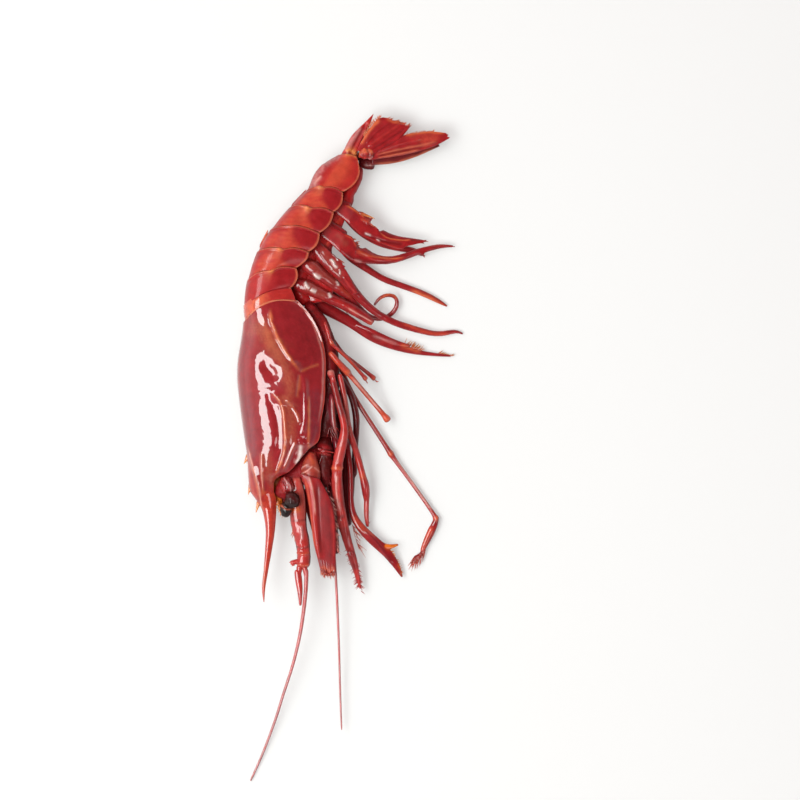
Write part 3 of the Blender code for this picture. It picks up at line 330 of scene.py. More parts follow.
# Lines and patches on the head shield: ridges in orange, brown mottled flesh, darker plates, and painted
# highlights in pale pink and white beside the ridges and along the rear edge.
SHIELD_STROKES = [
    patch(12.0, SHIELD_DARK, 0.6, (300, 325), (308, 350)),
    patch(2.8, SHIELD_PURPLE, 0.6, (243, 335), (242, 390), (247, 440)),
    patch(4.4, MOTTLED, 0.75, (256, 328), (268, 338), (278, 352)),
    patch(1.8, RIDGE_ORANGE, 0.4, (262, 320), (272, 345)),
    patch(2.8, MOTTLED, 0.85, (272, 345), (284, 366), (291, 390)),
    patch(3.4, MOTTLED, 0.8, (286, 400), (291, 415), (289, 440)),
    patch(3.2, SHIELD_PURPLE, 0.9, (316, 395), (315, 430)),
    patch(3.0, MOTTLED, 0.6, (266, 458), (272, 480)),
    patch(4.0, SHIELD_PURPLE, 0.8, (248, 405), (251, 430), (252, 456)),
    patch(4.0, ROSTRUM_PINK, 0.95, (268, 496), (270, 530), (266, 600)),
    bump(3.2, -1.0, (267, 366), (273, 374)),
    bump(5.0, 1.35, (287, 406), (291, 385), (291, 360), flank=8.6),
    bump(0.5, 0.22, (250, 391), (262, 389), (273, 391)),
    patch(1.0, TRANSLUCENT_ORANGE, 0.9, (277, 492), (279.5, 503), (277, 514)),
    bump(1.7, -0.5, (267, 390), (272, 404), (277, 420), (279, 436), (278, 452)),
    ridge(0.7, 0.7, RIDGE_ORANGE, 0.95, (271, 308), (271, 320), (274, 328), (279, 340), (287, 354),
          (300, 372), flank=2.2),
    ridge(0.6, -0.3, RIDGE_ORANGE, 0.5, (300, 372), (309, 368), (320, 364)),
    ridge(0.8, -0.3, RIDGE_ORANGE, 0.5, (300, 374), (299, 384), (297, 398)),
    ridge(0.6, 0.7, RIDGE_ORANGE, 0.95, (272, 393), (279, 400), (283, 410), (285, 430), (285, 446),
          (281, 462), (275, 476), flank=2.0),
    ridge(0.6, 0.5, RIDGE_ORANGE, 0.3, (285, 398), (292, 406), (298, 416), (300, 424), flank=1.2),
    bump(0.8, 0.7, (304, 376), (305, 395), (305, 420), (301, 436), flank=1.8),
    ridge(0.6, 0.2, RIDGE_ORANGE, 0.8, (309, 395), (309, 425), (309, 450)),
    ridge(0.7, 0.6, RIDGE_ORANGE, 0.3, (297, 440), (292, 450), (288, 460), (283, 470), flank=1.2),
    bump(1.3, 0.5, (304, 440), (302, 452), (297, 466), flank=2.4),
    # A painted white highlight on the raised front corner.
    patch(0.9, PAINTED_HIGHLIGHT_WHITE, 0.9, (300.6, 444), (300.4, 451), (298.8, 458), (295.5, 464)),
    ridge(0.8, 0.7, RIDGE_ORANGE, 0.6, (247, 444), (255, 474), (260, 495), (262, 514), (263, 560),
          (264, 596), flank=1.6),
    ridge(0.7, 0.5, RIDGE_ORANGE, 0.5, (262, 452), (262, 472), (264, 496), flank=1.0),
    # Painted highlight lines in pale pink beside the front ridges and along the rear edge.
    ridge(0.35, 0.1, PALE_PINK_AND_HIGHLIGHT, 0.9, (248, 446), (255, 470), (260, 492), (262, 510)),
    ridge(0.3, 0.1, PALE_PINK_AND_HIGHLIGHT, 0.8, (262, 456), (262, 472), (263, 490)),
    ridge(0.4, 0.25, PALE_PINK_AND_HIGHLIGHT, 0.45, (290, 298), (303, 307), (314, 324), (320, 342), (323, 362), (322, 398),
          (318, 424)),
    patch(1.2, EDGE_ORANGE, 0.9, (247, 452), (249, 475), (255, 498), (262, 514)),
    ridge(1.2, 0.2, SHIELD_PURPLE, 0.8, (315, 424), (313, 436), (310, 446)),
]

# Extra lines on the tail segments: the last one has a painted pink sheen along its glassy back, and a
# painted highlight line.
RING_STROKES = {
    1: [ridge(1.0, 0.2, PALE_PINK_AND_HIGHLIGHT, 0.7, (262, 268))],
    3: [ridge(0.8, 0.4, PALE_PINK_AND_HIGHLIGHT, 0.6, (262, 240), (266, 231))],
    6: [
        bump(4.0, 1.1, (309, 186), (313, 172), (322, 160)),
        # Painted sheen and a painted highlight line along the back, beside its red edge.
        patch(2.2, GLINT_PINK, 0.6, (313, 188), (318, 173), (328, 161), (337, 157)),
        ridge(0.7, 0.2, PLEURON_RED, 0.8, (308, 190), (311, 177), (319, 165), (330, 157)),
        ridge(0.5, 0.3, PALE_PINK_AND_HIGHLIGHT, 0.8, (316, 184), (321, 177)),
        ridge(0.7, -0.2, PLATE_RED, 0.5, (322, 186), (330, 172), (342, 158)),
        ridge(1.0, 0.3, HINGE_ORANGE, 0.6, (345, 155), (352, 154), (358, 157)),
    ],
}

# Where the hinges of the tail segments show, by the segment's number.
HINGES = {1: at((271, 271)), 2: at((280, 249)), 4: at((307, 209)), 5: at((320, 187))}

# Pieces of small horns: finish, slot, points round each, steps along it, and the horns.
HORN_PIECES = {
    "shield_teeth": ("soft", "head_shield", 12, 9, [
        Horn((-49.4, -1.5, 15.3), (-53.0, -8.0, 15.3), 1.8, EDGE_ORANGE, TOOTH_ORANGE),
        Horn((-48.2, -13.0, 15.3), (-50.8, -23.4, 15.3), 2.0, EDGE_ORANGE, TOOTH_ORANGE),
        Horn((-44.2, -22.0, 15.3), (-47.0, -32.4, 15.3), 1.9, EDGE_ORANGE, TOOTH_ORANGE),
    ]),
    "tail_spines": ("soft", "tail_shell", 12, 9, [
        Horn((-44.4, 99.0, 12.8), (-41.0, 109.2, 12.8), 1.8, PLATE_RED, RIM_ORANGE),
        Horn((-37.0, 109.0, 12.0), (-30.3, 120.2, 11.6), 1.9, PLEURON_RED, EDGE_ORANGE),
        Horn((-29.2, 119.0, 10.8), (-21.8, 129.4, 10.0), 1.9, PLEURON_RED, EDGE_ORANGE),
    ]),
    # Where the two feelers leave the antennule's last joint.
    "feeler_roots": ("limb", "feeler", 12, 9, [
        Horn((-22.8, -57.0, 17.9), (-21.9, -67.0, 17.3), 1.7, LIMB_BRIGHT, LIMB_BRIGHT),
        Horn((-25.0, -57.5, 17.6), (-25.7, -68.0, 17.4), 1.9, LIMB_BRIGHT, LIMB_BRIGHT),
    ]),
    # Flesh that fills the gaps behind the eye, at the shield's front corner and at the tail's root, dark
    # with painted shade.
    "dark_folds": ("gill", "dark_flesh", 24, 16, [
        Horn((-37.0, -12.0, 14.6), (-34.6, -33.0, 13.6), 3.6, SHADE_DARKENED_FLESH, TRANSLUCENT_ORANGE),
        Horn((-34.0, -12.0, 12.0), (-32.6, -32.0, 12.0), 3.4, SHADE_DARKENED_FLESH, LIMB_RED),
        Horn((-25.0, 9.0, 14.0), (-12.0, -8.0, 16.0), 5.6, SHADE_DARKENED_FLESH, SHADE_DARKENED_FLESH),
        Horn((-2.0, 147.2, 5.5), (9.0, 144.6, 5.5), 3.9, SHADE_DARKENED_FLESH, SHADE_DARKENED_FLESH),
    ]),
    "limb_spines": ("limb", "limb", 12, 9, [
        Horn((4.0, 117.9, 14.8), (12.6, 114.6, 13.4), 1.1, LIMB_RED, HINGE_ORANGE),
        Horn((-7.0, 94.6, 18.8), (-2.6, 92.4, 18.2), 0.8, LIMB_RED, JOINT_ORANGE),
    ]),
}

# The tail fan and the antenna's scale, each between its two edges from root to tip.
TELSON = Blade(
    left=at((340, 156), (344, 149), (352, 135), (366, 121), (373, 114)),
    right=at((357, 158), (359, 149), (363, 140), (369, 127), (373.6, 114)),
    levels=(9.4, 9.2), thickness=(4.4, 0.4), ragged=0.0, base=PLATE_RED,
    strokes=[
        # A painted highlight along the middle.
        ridge(1.6, 0.3, GLINT_PINK, 0.55, (345, 152), (353, 139), (362, 127)),
        ridge(0.8, -0.7, LIMB_RED, 0.8, (350, 155), (357, 140), (367, 122)),
        ridge(0.8, 0.5, PLEURON_RED, 0.6, (355, 156), (360, 143), (368, 126)),
        ridge(1.4, 0.3, HINGE_ORANGE, 0.7, (346, 152), (350, 150), (357, 156)),
    ],
)
INNER_BLADE = Blade(
    left=at((356, 151), (361, 142), (368, 131), (377, 119.5), (385, 117)),
    right=at((374, 154), (385, 147), (396, 141), (404, 134.5), (411, 125.5)),
    levels=(13.2, 11.4), thickness=(1.2, 0.3), ragged=0.06, base=BLADE_RED,
    strokes=[
        patch(1.0, BLADE_ORANGE, 0.9, (360, 145), (368, 132), (380, 118)),
        ridge(0.5, 0.35, LIMB_DARK_AND_SHADE, 0.4, (366, 144), (376, 133), (392, 121)),
        ridge(0.7, 0.5, PLATE_RED, 0.6, (368, 147), (382, 137), (402, 123)),
        ridge(0.5, -0.3, LIMB_DARK_AND_SHADE, 0.5, (372, 149), (388, 140), (406, 128)),
        patch(0.8, BLADE_ORANGE, 0.6, (386, 117), (394, 122), (404, 121), (413, 124)),
    ],
)
OUTER_BLADE = Blade(
    left=at((368, 152), (384, 145), (404, 135), (418, 132.6), (432, 131.4), (447, 133)),
    right=at((371, 160), (386, 158), (402, 155.4), (420, 151), (436, 145.5), (450.5, 137.5)),
    levels=(12.0, 10.4), thickness=(1.3, 0.3), ragged=0.03, base=BLADE_RED,
    strokes=[
        patch(0.9, BLADE_ORANGE, 0.9, (404, 135), (418, 132.6), (432, 131.4), (445, 133)),
        ridge(0.6, 0.4, PLATE_RED, 0.5, (378, 152), (396, 145), (424, 138)),
        ridge(0.6, 0.6, RIM_ORANGE, 0.5, (376, 155), (398, 150), (422, 145), (438, 141)),
        ridge(0.6, 0.5, RIM_ORANGE, 0.6, (377, 158), (398, 154), (420, 149.5)),
        ridge(0.5, -0.4, LIMB_DARK_AND_SHADE, 0.5, (377, 156.5), (398, 152), (421, 147.5)),
        patch(2.4, PLATE_ORANGE, 0.6, (422, 140), (434, 139)),
    ],
)
# The far blade is dark with painted shade.
FAR_BLADE = Blade(
    left=at((372, 158), (402, 150), (436, 141)),
    right=at((372, 165), (388, 164), (403, 161), (419, 155.5), (440, 146)),
    levels=(8.6, 8.4), thickness=(1.0, 0.3), ragged=0.0, base=LIMB_DARK_AND_SHADE,
    strokes=[
        ridge(0.7, 0.2, RIM_ORANGE, 0.5, (374, 164), (388, 163.5), (403, 160.5), (419, 155), (438, 147)),
    ],
)
SCALE_BLADE = Blade(
    left=at((300, 473), (305, 487), (308, 500), (310.5, 516), (313.5, 541), (318, 560), (321, 573)),
    right=at((320, 479), (326.5, 491), (332, 504), (335.5, 524), (336, 550), (335, 575)),
    levels=(24.9, 18.0), thickness=(0.8, 0.35), ragged=0.07, base=SCALE_RED,
    strokes=[
        ridge(1.9, 0.7, PLATE_RED, 0.9, (307, 474), (311, 488), (313, 502), (314, 520), (316.5, 541),
              (320, 560)),
        patch(0.5, JOINT_ORANGE, 0.6, (304, 476), (308, 490), (310, 506), (312, 528), (316, 552)),
        # A painted highlight line along the rib.
        ridge(0.35, 0.1, PALE_PINK_AND_HIGHLIGHT, 0.9, (309, 476), (312, 486), (314.5, 500), (315.5, 516)),
        ridge(0.9, -0.15, LIMB_DARK_AND_SHADE, 0.8, (317, 484), (319, 520), (321, 556)),
        patch(0.7, LIMB_DARK_AND_SHADE, 0.5, (326, 500), (330, 530), (331, 562)),
        patch(0.4, LIMB_BRIGHT, 0.6, (331, 506), (333.5, 530), (333.5, 560)),
        patch(1.4, JOINT_ORANGE, 0.6, (321, 566), (329, 571), (335, 567)),
    ],
)

# The soft skin between the roots of the swimming legs, and the flaps that lie on three of them.
BELLY_SKIN = Blade(
    left=at((341, 206), (333, 219), (325, 234), (315, 246), (306, 256), (300, 268), (296, 283), (300, 298)),
    right=at((347, 214), (343, 225), (338, 238), (332, 249), (334, 262), (336, 278), (330, 298),
             (311, 304)),
    levels=(12.0, 13.4, 14.0, 14.0), thickness=(1.6, 1.6), ragged=0.0, base=SKIN_RED,
    strokes=[
        ridge(1.4, 0.5, PLATE_ORANGE, 0.5, (343, 212), (336, 226), (328, 242), (316, 256), (304, 272)),
        ridge(0.9, 0.4, LIMB_RED, 0.7, (336, 236), (324, 254), (312, 272)),
    ],
)
THIRD_FLAP = Blade(
    left=at((311, 242), (317, 248), (320.5, 256), (325, 263), (330, 270), (338, 276.5), (345, 285.5),
            (352, 295)),
    right=at((321, 243), (329, 250.5), (335.6, 257.5), (342, 262.5), (343, 265), (345.4, 266.4),
             (344.4, 268.4), (346.4, 270.6), (348.2, 274), (353, 283.5), (358, 293)),
    levels=(17.0, 19.2, 18.6, 15.6), thickness=(0.7, 0.4), ragged=0.0, base=LIMB_RED,
    strokes=[
        # Painted sheen on the glassy root.
        patch(2.4, GLASSY_SHEEN_BROWN, 0.8, (322, 252), (330, 262), (339, 274)),
        # Painted white highlights on small ridges.
        ridge(0.55, 0.5, PAINTED_HIGHLIGHT_WHITE, 1.0, (330.5, 259), (333, 262), (334.5, 265.5), (338, 268)),
        ridge(0.4, 0.5, PAINTED_HIGHLIGHT_WHITE, 0.7, (329, 265.5), (331.5, 268), (332, 270.5)),
        ridge(0.3, 0.3, PAINTED_HIGHLIGHT_WHITE, 0.6, (339.4, 269), (340.4, 272), (340, 275)),
        ridge(0.3, 0.4, PAINTED_HIGHLIGHT_WHITE, 0.9, (332, 254.5), (336, 257.5), (338.5, 261)),
        ridge(0.6, 0.3, LIMB_BRIGHT, 0.6, (343, 276), (350, 286), (357, 295)),
    ],
)
FOURTH_FLAP = Blade(
    left=at((325, 221), (334, 227), (344, 233), (352, 237), (354.5, 241.4), (357.4, 244.6), (356.2, 247),
            (358.4, 249), (363.2, 249.9), (369.8, 253), (378, 256.3), (386.4, 257.8), (394.7, 257.6),
            (403, 256.3), (409.6, 253.4), (416.3, 250.1), (422.9, 247.6), (434.5, 246), (445.3, 244.9),
            (455.2, 246.2)),
    right=at((320, 236), (331, 244), (341.6, 253.8), (348.3, 258.8), (355.7, 262.6), (365.7, 263.6),
             (373, 264), (381.4, 264.2), (391.4, 263), (401.3, 260.5), (409.6, 255.8), (418.7, 252.8),
             (423, 255), (425.4, 252.2), (432.8, 248.7), (442.8, 246.8), (455.2, 246.8)),
    levels=(16.4, 16.8, 12.8, 10.0, 8.4, 6.4, 3.2), thickness=(0.9, 0.3), ragged=0.0, base=BLADE_RED,
    strokes=[
        patch(0.6, BLADE_ORANGE, 1.0, (358, 249.5), (364, 250.4), (370, 253.4), (378, 256.6), (387, 258.2),
              (395, 258), (404, 256.6)),
        patch(0.4, LEG_ORANGE, 0.7, (344, 235), (352, 238.6), (356, 246), (359, 249.5)),
        # Painted sheen on the glassy root.
        patch(1.5, GLASSY_SHEEN_BROWN, 0.6, (336, 233), (342, 240), (348, 246)),
        patch(1.0, LIMB_DARK_AND_SHADE, 0.8, (344, 252), (354, 259), (366, 262), (382, 263), (396, 261)),
        ridge(0.6, 0.3, PLATE_RED, 0.6, (362, 254), (376, 259.5), (394, 260)),
        # A painted highlight.
        ridge(0.5, 0.3, GLINT_PINK, 0.6, (355.5, 260.2), (360.5, 262)),
    ],
)
FIFTH_FLAP = Blade(
    left=at((336, 200), (345, 204), (353, 208), (359, 212.2), (364.8, 217), (366, 221.2), (372.3, 226.3),
            (378, 228.7), (379.4, 231), (383, 234), (388, 237.1), (396.4, 238.6), (403.8, 239.4),
            (411, 238.8), (412.6, 240.7), (420.4, 240.1), (426.6, 239.8)),
    right=at((332, 211), (343, 219), (349, 224), (355.7, 230.8), (361.5, 235.8), (372.3, 240),
             (384.8, 244.6), (393, 247.4), (402, 249.4), (405.8, 246.6), (414.6, 244.4), (423, 242.2),
             (426.6, 240.4)),
    levels=(14.4, 15.2, 13.0, 10.6, 9.0, 6.6), thickness=(0.9, 0.3), ragged=0.0, base=BLADE_RED,
    strokes=[
        patch(0.6, BLADE_ORANGE, 0.8, (346, 205.4), (353, 209), (359, 213), (365, 218)),
        patch(0.4, BLADE_ORANGE, 0.8, (380, 232.6), (388, 237.8), (396, 239.4), (404, 240), (411, 239.6)),
        ridge(0.8, 0.4, PLATE_RED, 0.9, (362, 237), (373, 241), (385, 245), (401, 249)),
        ridge(0.8, -0.3, LIMB_DARK_AND_SHADE, 0.7, (362, 233), (374, 238), (388, 242), (404, 244)),
        # Painted white highlights on small ridges.
        ridge(0.5, 0.4, PAINTED_HIGHLIGHT_WHITE, 0.7, (366, 233.6), (370, 235.2)),
        ridge(0.4, 0.4, PAINTED_HIGHLIGHT_WHITE, 0.6, (377, 239.5), (379, 240.5)),
        patch(1.6, LIMB_PURPLE, 0.4, (349, 210), (356, 218)),
    ],
)

# Pieces made as blades: finish, slot, blade, and the solid that each replaces.
BLADE_PIECES = {
    "belly_skin": ("soft", "soft_skin", BELLY_SKIN),
    "flap_third": ("limb", "limb", THIRD_FLAP),
    "flap_fourth": ("blade", "limb", FOURTH_FLAP),
    "flap_fifth": ("blade", "limb", FIFTH_FLAP),
    "telson_blade": ("blade", "tail_shell", TELSON, "telson"),
    "fan_inner": ("blade", "tail_shell", INNER_BLADE, "uropod_inner_left"),
    "fan_outer": ("blade", "tail_shell", OUTER_BLADE, "uropod_outer_left"),
    "fan_far": ("blade", "tail_shell", FAR_BLADE, "uropod_outer_right"),
    "antenna_blade": ("ring", "limb", SCALE_BLADE, "antenna_scale_left"),
}

# The limbs and the soft parts, by the solid that each replaces.
LOOKS = {
    "uropod_base_left": Look("cup", "tail_shell", PLATE_RED, 0.4, 0.14, [
        patch(1.6, BLADE_ORANGE, 0.8, (361, 150), (368, 149), (374, 151)),
        patch(0.5, RIM_ORANGE, 0.6, (360, 153), (368, 152), (375, 153)),
        patch(1.0, LIMB_DARK_AND_SHADE, 0.6, (360, 155), (368, 156), (375, 156)),
        # A painted highlight streak.
        ridge(0.5, 0.15, GLINT_PINK, 0.8, (362, 160), (368, 159.5), (374, 156.5)),
        patch(0.7, HINGE_ORANGE, 0.5, (359, 150), (358, 156), (361, 162)),
        bump(2.2, -1.4, (358, 147.5)),
        bump(2.2, -1.4, (375, 147)),
        ridge(2.0, -1.2, LIMB_DARK_AND_SHADE, 0.6, (375, 161)),
        ridge(0.7, -0.5, LIMB_DARK_AND_SHADE, 0.5, (366, 147), (369, 154), (366, 161)),
    ]),
    # Far-side part: its dark base is painted shade.
    "uropod_base_right": Look("cup", "tail_shell", LIMB_DARK_AND_SHADE, 0.6, 0.1, [
        # A painted highlight streak.
        ridge(0.4, 0.2, GLINT_PINK, 0.5, (363, 164), (370, 165), (376, 163)),
    ]),
    "uropod_inner_right": Look("blade", "tail_shell", BLADE_RED),
    "head": Look("gill", "dark_flesh", FLESH_RED, fatter=2.2, beads=0.12),
    # Mouthparts and thorax: dark flesh whose darkness is partly painted shade under the shield.
    "mouthparts": Look("gill", "dark_flesh", SHADE_DARKENED_FLESH, 1.5, 0.14, [
        ridge(0.5, 0.7, LIMB_BRIGHT, 0.6, (317, 448), (321, 452), (330, 456)),
        ridge(1.2, 0.4, LIMB_RED, 0.8, (318, 444), (324, 447), (332, 450)),
        ridge(1.2, 0.4, LIMB_DARK_AND_SHADE, 0.8, (320, 460), (324, 475), (330, 490)),
        ridge(0.7, 0.4, FLESH_RED, 0.7, (328, 458), (331, 475), (333, 492)),
    ]),
    "thorax": Look("gill", "dark_flesh", SHADE_DARKENED_FLESH, 1.9, 0.12, [
        patch(5.0, LIMB_RED, 1.0, (310, 305), (318, 322), (326, 345)),
        patch(3.0, LIMB_RED, 0.8, (327, 355), (329, 372)),
        ridge(0.8, 0.7, LIMB_BRIGHT, 0.5, (318, 312), (324, 326), (328, 342)),
        ridge(0.6, 0.6, LIMB_PURPLE, 0.9, (326, 392), (329, 415), (331, 440)),
        ridge(0.5, 0.5, FLESH_RED, 0.8, (331, 400), (335, 420), (338, 438)),
    ]),
    "tail_belly": Look("cup", "dark_flesh", SKIN_RED, 2.5, 0.12, [
        ridge(1.6, 0.3, PLATE_ORANGE, 0.6, (346, 205), (341, 218), (334, 233), (323, 250), (310, 272)),
        bump(3.6, -2.5, (364, 158), (366, 176), (361, 190), (354, 202)),
        bump(5.0, 1.2, (345, 219)),
        bump(5.0, 1.4, (333, 243)),
    ]),
    "eye_left": Look("eye", "eye", EYE_BROWN, 0.75, 0.12, [
        ridge(0.35, 0.1, JOINT_ORANGE, 0.9, (281, 503), (286, 509), (293, 508), (300, 504)),
        patch(1.6, LIMB_DARK_AND_SHADE, 0.35, (289, 496), (296, 500)),
        patch(3.0, EYE_BLACK, 0.8, (286, 512)),
        bump(1.8, -0.7, (285, 499)),
        bump(1.6, 0.5, (298, 504)),
    ]),
    "eye_right": Look("eye", "eye", EYE_BLACK, beads=0.12),
    "eyestalk_left": Look("strap", "limb", LIMB_RED, 0.8, 0.1, [
        ridge(0.5, -0.4, LIMB_DARK_AND_SHADE, 0.7, (282, 479), (286, 485), (288, 493)),
        # Painted highlights on small ridges.
        ridge(0.35, 0.3, GLINT_PINK, 0.7, (284, 478), (289, 485), (291, 492)),
        ridge(0.35, 0.3, GLINT_PINK, 0.6, (295, 479), (292, 485), (293, 491)),
    ]),
    # Grown to fill the gap beside the eye, in dark flesh that is partly painted shade.
    "eyestalk_right": Look("gill", "limb", SHADE_DARKENED_FLESH, fatter=3.4),
    "antenna_base_left": Look("cup", "limb", CUP_ORANGE, 0.2, 0.04, [
        patch(2.4, LIMB_RED, 0.9, (303, 452), (308, 455), (315, 458)),
        patch(1.2, JOINT_ORANGE, 0.6, (310, 457), (313, 462)),
        ridge(0.35, 0.2, PALE_PINK_AND_HIGHLIGHT, 0.9, (301, 471), (303, 467.5), (308.5, 464)),
        ridge(0.35, 0.2, PALE_PINK_AND_HIGHLIGHT, 0.9, (302, 473.5), (306, 471.5), (309.5, 469), (313, 465.5)),
        ridge(0.7, -0.1, LIMB_DARK_AND_SHADE, 0.6, (304, 470), (308, 467.5)),
        ridge(0.3, 0.1, PALE_PINK_AND_HIGHLIGHT, 0.7, (314, 467), (317, 469.5), (320, 472)),
        patch(2.6, LIMB_RED, 0.9, (313, 476), (319, 480)),
    ]),
    # Far-side part: its dark base is painted shade.
    "antenna_base_right": Look("limb", "limb", LIMB_DARK_AND_SHADE, fatter=1.2),
    "antenna_scale_right": Look("cup", "limb", SCALE_RED, 0.1, 0.0, [
        patch(3.0, LEG_ORANGE, 0.5, (337, 546)),
    ]),
    "antennule_left": Look("strap", "limb", LIMB_BRIGHT, 0.5, 0.07, [
        patch(2.4, LEG_PINK, 0.9, (299, 476), (301, 490), (301, 505), (302, 520)),
        ridge(0.6, 0.3, JOINT_ORANGE, 0.9, (304, 478), (306, 495), (306, 516)),
        patch(1.0, TRANSLUCENT_ORANGE, 0.5, (291, 508), (296, 510), (300, 507)),
        ridge(0.5, -0.4, LIMB_DARK_AND_SHADE, 0.6, (289, 519), (298, 521), (308, 519)),
        # A painted highlight on a small ridge.
        ridge(0.7, 0.5, GLINT_PINK, 0.7, (301, 527), (302, 538)),
        ridge(0.5, -0.5, LIMB_DARK_AND_SHADE, 0.6, (296, 546), (303, 548), (309, 546)),
        ridge(0.6, 0.5, JOINT_ORANGE, 0.4, (297, 552), (303, 554), (309, 552)),
        ridge(0.6, 0.6, JOINT_ORANGE, 0.5, (297, 563), (304, 565), (309, 563)),
    ]),
    # Far-side part: its dark base is painted shade.
    "antennule_right": Look("limb", "limb", LIMB_DARK_AND_SHADE, fatter=0.8),
    "antennule_flagellum_long": Look("feeler", "feeler", FEELER_PINK, 0.15, 0.0, [
        patch(5.0, LIMB_BRIGHT, 0.8, (307, 565), (306, 590), (303, 620)),
        patch(6.0, FEELER_ROSE, 0.8, (302, 620), (297, 660)),
    ]),
    "antennule_flagellum_short": Look("feeler", "feeler", LIMB_BRIGHT, fatter=0.4),
    "antenna_flagellum": Look("feeler", "feeler", FEELER_PINK, 0.1, 0.0, [
        patch(5.0, LIMB_BRIGHT, 0.9, (323, 495), (329, 520), (333, 560), (336, 600)),
        patch(8.0, FEELER_ROSE, 0.8, (337, 610), (339, 650)),
    ]),
    "leg_5_left": Look("limb", "limb", LIMB_BRIGHT, 0.1, 0.03, [
        ridge(1.2, 0.4, JOINT_ORANGE, 0.8, (331.5, 343)),
        ridge(0.6, 0.2, LEG_ORANGE, 0.6, (338, 350), (350, 361), (362, 375)),
        ridge(1.2, 0.5, JOINT_ORANGE, 0.7, (366, 379)),
    ]),
    "leg_5_right": Look("limb", "limb", LIMB_BRIGHT, 0.1, 0.0, [
        ridge(1.4, 0.4, JOINT_ORANGE, 0.7, (374, 379)),
    ]),
    "leg_4_left": Look("limb", "limb", LEG_ORANGE, 0.1, 0.03, [
        ridge(1.6, 0.3, LIMB_BRIGHT, 0.6, (335, 356), (345, 369)),
        ridge(1.3, 0.6, JOINT_ORANGE, 0.9, (348, 372)),
        ridge(0.9, -0.3, LIMB_RED, 0.7, (351, 375)),
        # A painted highlight streak along the leg.
        ridge(0.45, 0.1, PALE_PINK_AND_HIGHLIGHT, 0.9, (351.5, 377), (365, 392.5), (381, 412)),
        ridge(1.9, 0.6, JOINT_ORANGE, 0.8, (387, 420)),
    ]),
    "leg_4_right": Look("limb", "limb", LIMB_RED, 0.2, 0.0, [
        patch(2.2, LIMB_BRIGHT, 0.9, (392, 455), (414, 485), (435, 516)),
        ridge(1.4, 0.6, JOINT_ORANGE, 0.9, (391, 454)),
        ridge(0.4, 0.1, LEG_PINK, 0.7, (350, 390), (370, 420), (390, 450)),
        # A painted highlight line along the leg.
        ridge(0.3, 0.1, PALE_PINK_AND_HIGHLIGHT, 0.9, (394, 457), (414, 485), (433, 512)),
        ridge(1.4, 0.5, JOINT_ORANGE, 0.9, (437, 518)),
        ridge(1.4, 0.3, LEG_ORANGE, 0.8, (433, 526), (426, 540), (421, 552)),
    ]),
    "leg_3_left": Look("limb", "limb", LIMB_BRIGHT, 0.2, 0.0, [
        ridge(0.7, 0.3, LEG_PINK, 0.8, (344, 392), (347, 415), (348, 426)),
        ridge(1.4, 0.5, JOINT_ORANGE, 0.9, (348, 430)),
        ridge(1.2, 0.3, JOINT_ORANGE, 0.8, (362.5, 477)),
        ridge(2.0, 0.5, LIMB_RED, 0.9, (364, 484), (365, 494)),
        ridge(0.8, -0.3, LIMB_RED, 0.7, (366, 501)),
    ]),
    # Far-side leg: its dark base is painted shade.
    "leg_3_right": Look("limb", "limb", LIMB_DARK_AND_SHADE, 0.5, 0.0, [
        bump(2.2, -1.4, (358, 474), (357, 495), (354, 516)),
    ]),
    "leg_2_left": Look("limb", "limb", LIMB_RED, 0.25, 0.0, [
        patch(1.2, PLATE_ORANGE, 0.7, (352, 515), (362, 527), (376, 538)),
        patch(1.2, TRANSLUCENT_ORANGE, 0.9, (384, 545), (392, 547), (398, 545)),
        patch(1.0, TRANSLUCENT_ORANGE, 0.9, (394, 552), (400, 562), (403, 576)),
        ridge(0.8, 0.4, LIMB_PURPLE, 0.6, (364, 530), (378, 544), (394, 566)),
    ]),
    # Far-side leg: its dark base is painted shade.
    "leg_2_right": Look("limb", "limb", LIMB_DARK_AND_SHADE, fatter=1.5),
    "leg_1_left": Look("limb", "limb", LIMB_PURPLE, 0.5, 0.0, [
        ridge(0.6, 0.4, LEG_PINK, 0.5, (332, 396), (334, 420), (336, 440)),
    ]),
    # Far-side leg: its dark base is painted shade.
    "leg_1_right": Look("limb", "limb", LIMB_DARK_AND_SHADE, fatter=1.5),
    "maxilliped_left": Look("beaded", "limb", LIMB_BRIGHT, 0.25, 0.1, [
        ridge(2.2, 0.6, PALE_PINK_AND_HIGHLIGHT, 0.7, (329.5, 371)),
        ridge(1.4, -0.7, LIMB_RED, 0.7, (331.5, 379)),
        patch(1.8, LIMB_DARK_AND_SHADE, 0.7, (332, 380), (337, 398), (343, 418)),
        ridge(1.0, 0.2, LEG_PINK, 0.5, (345, 434), (341, 448), (338, 464)),
        ridge(0.9, 0.5, JOINT_ORANGE, 0.9, (333, 468), (342, 468)),
        # A painted highlight line down the left side.
        ridge(0.6, 0.1, PALE_PINK_AND_HIGHLIGHT, 0.6, (337.5, 474), (336.5, 492), (340, 512)),
        patch(1.0, LIMB_DARK_AND_SHADE, 0.7, (343, 474), (342.5, 492), (345, 512)),
        ridge(0.6, -0.4, LIMB_DARK_AND_SHADE, 0.6, (337, 517), (344, 516)),
        ridge(0.6, -0.3, LIMB_DARK_AND_SHADE, 0.6, (345, 552), (353, 552)),
        patch(1.8, LIMB_DARK_AND_SHADE, 0.7, (344, 524), (348, 545), (355, 575)),
    ]),
    # Far-side limb: its dark base is painted shade.
    "maxilliped_right": Look("limb", "limb", LIMB_DARK_AND_SHADE, fatter=1.3),
    "swimmeret_1_left": Look("strap", "limb", LIMB_RED, 0.3, 0.06, [
        bump(4.0, 1.0, (299, 283), (306, 286)),
        # Painted sheen on the glassy root.
        patch(2.0, GLASSY_SHEEN_BROWN, 0.8, (303, 284), (314, 291), (327, 297)),
        # Painted white highlights on small ridges.
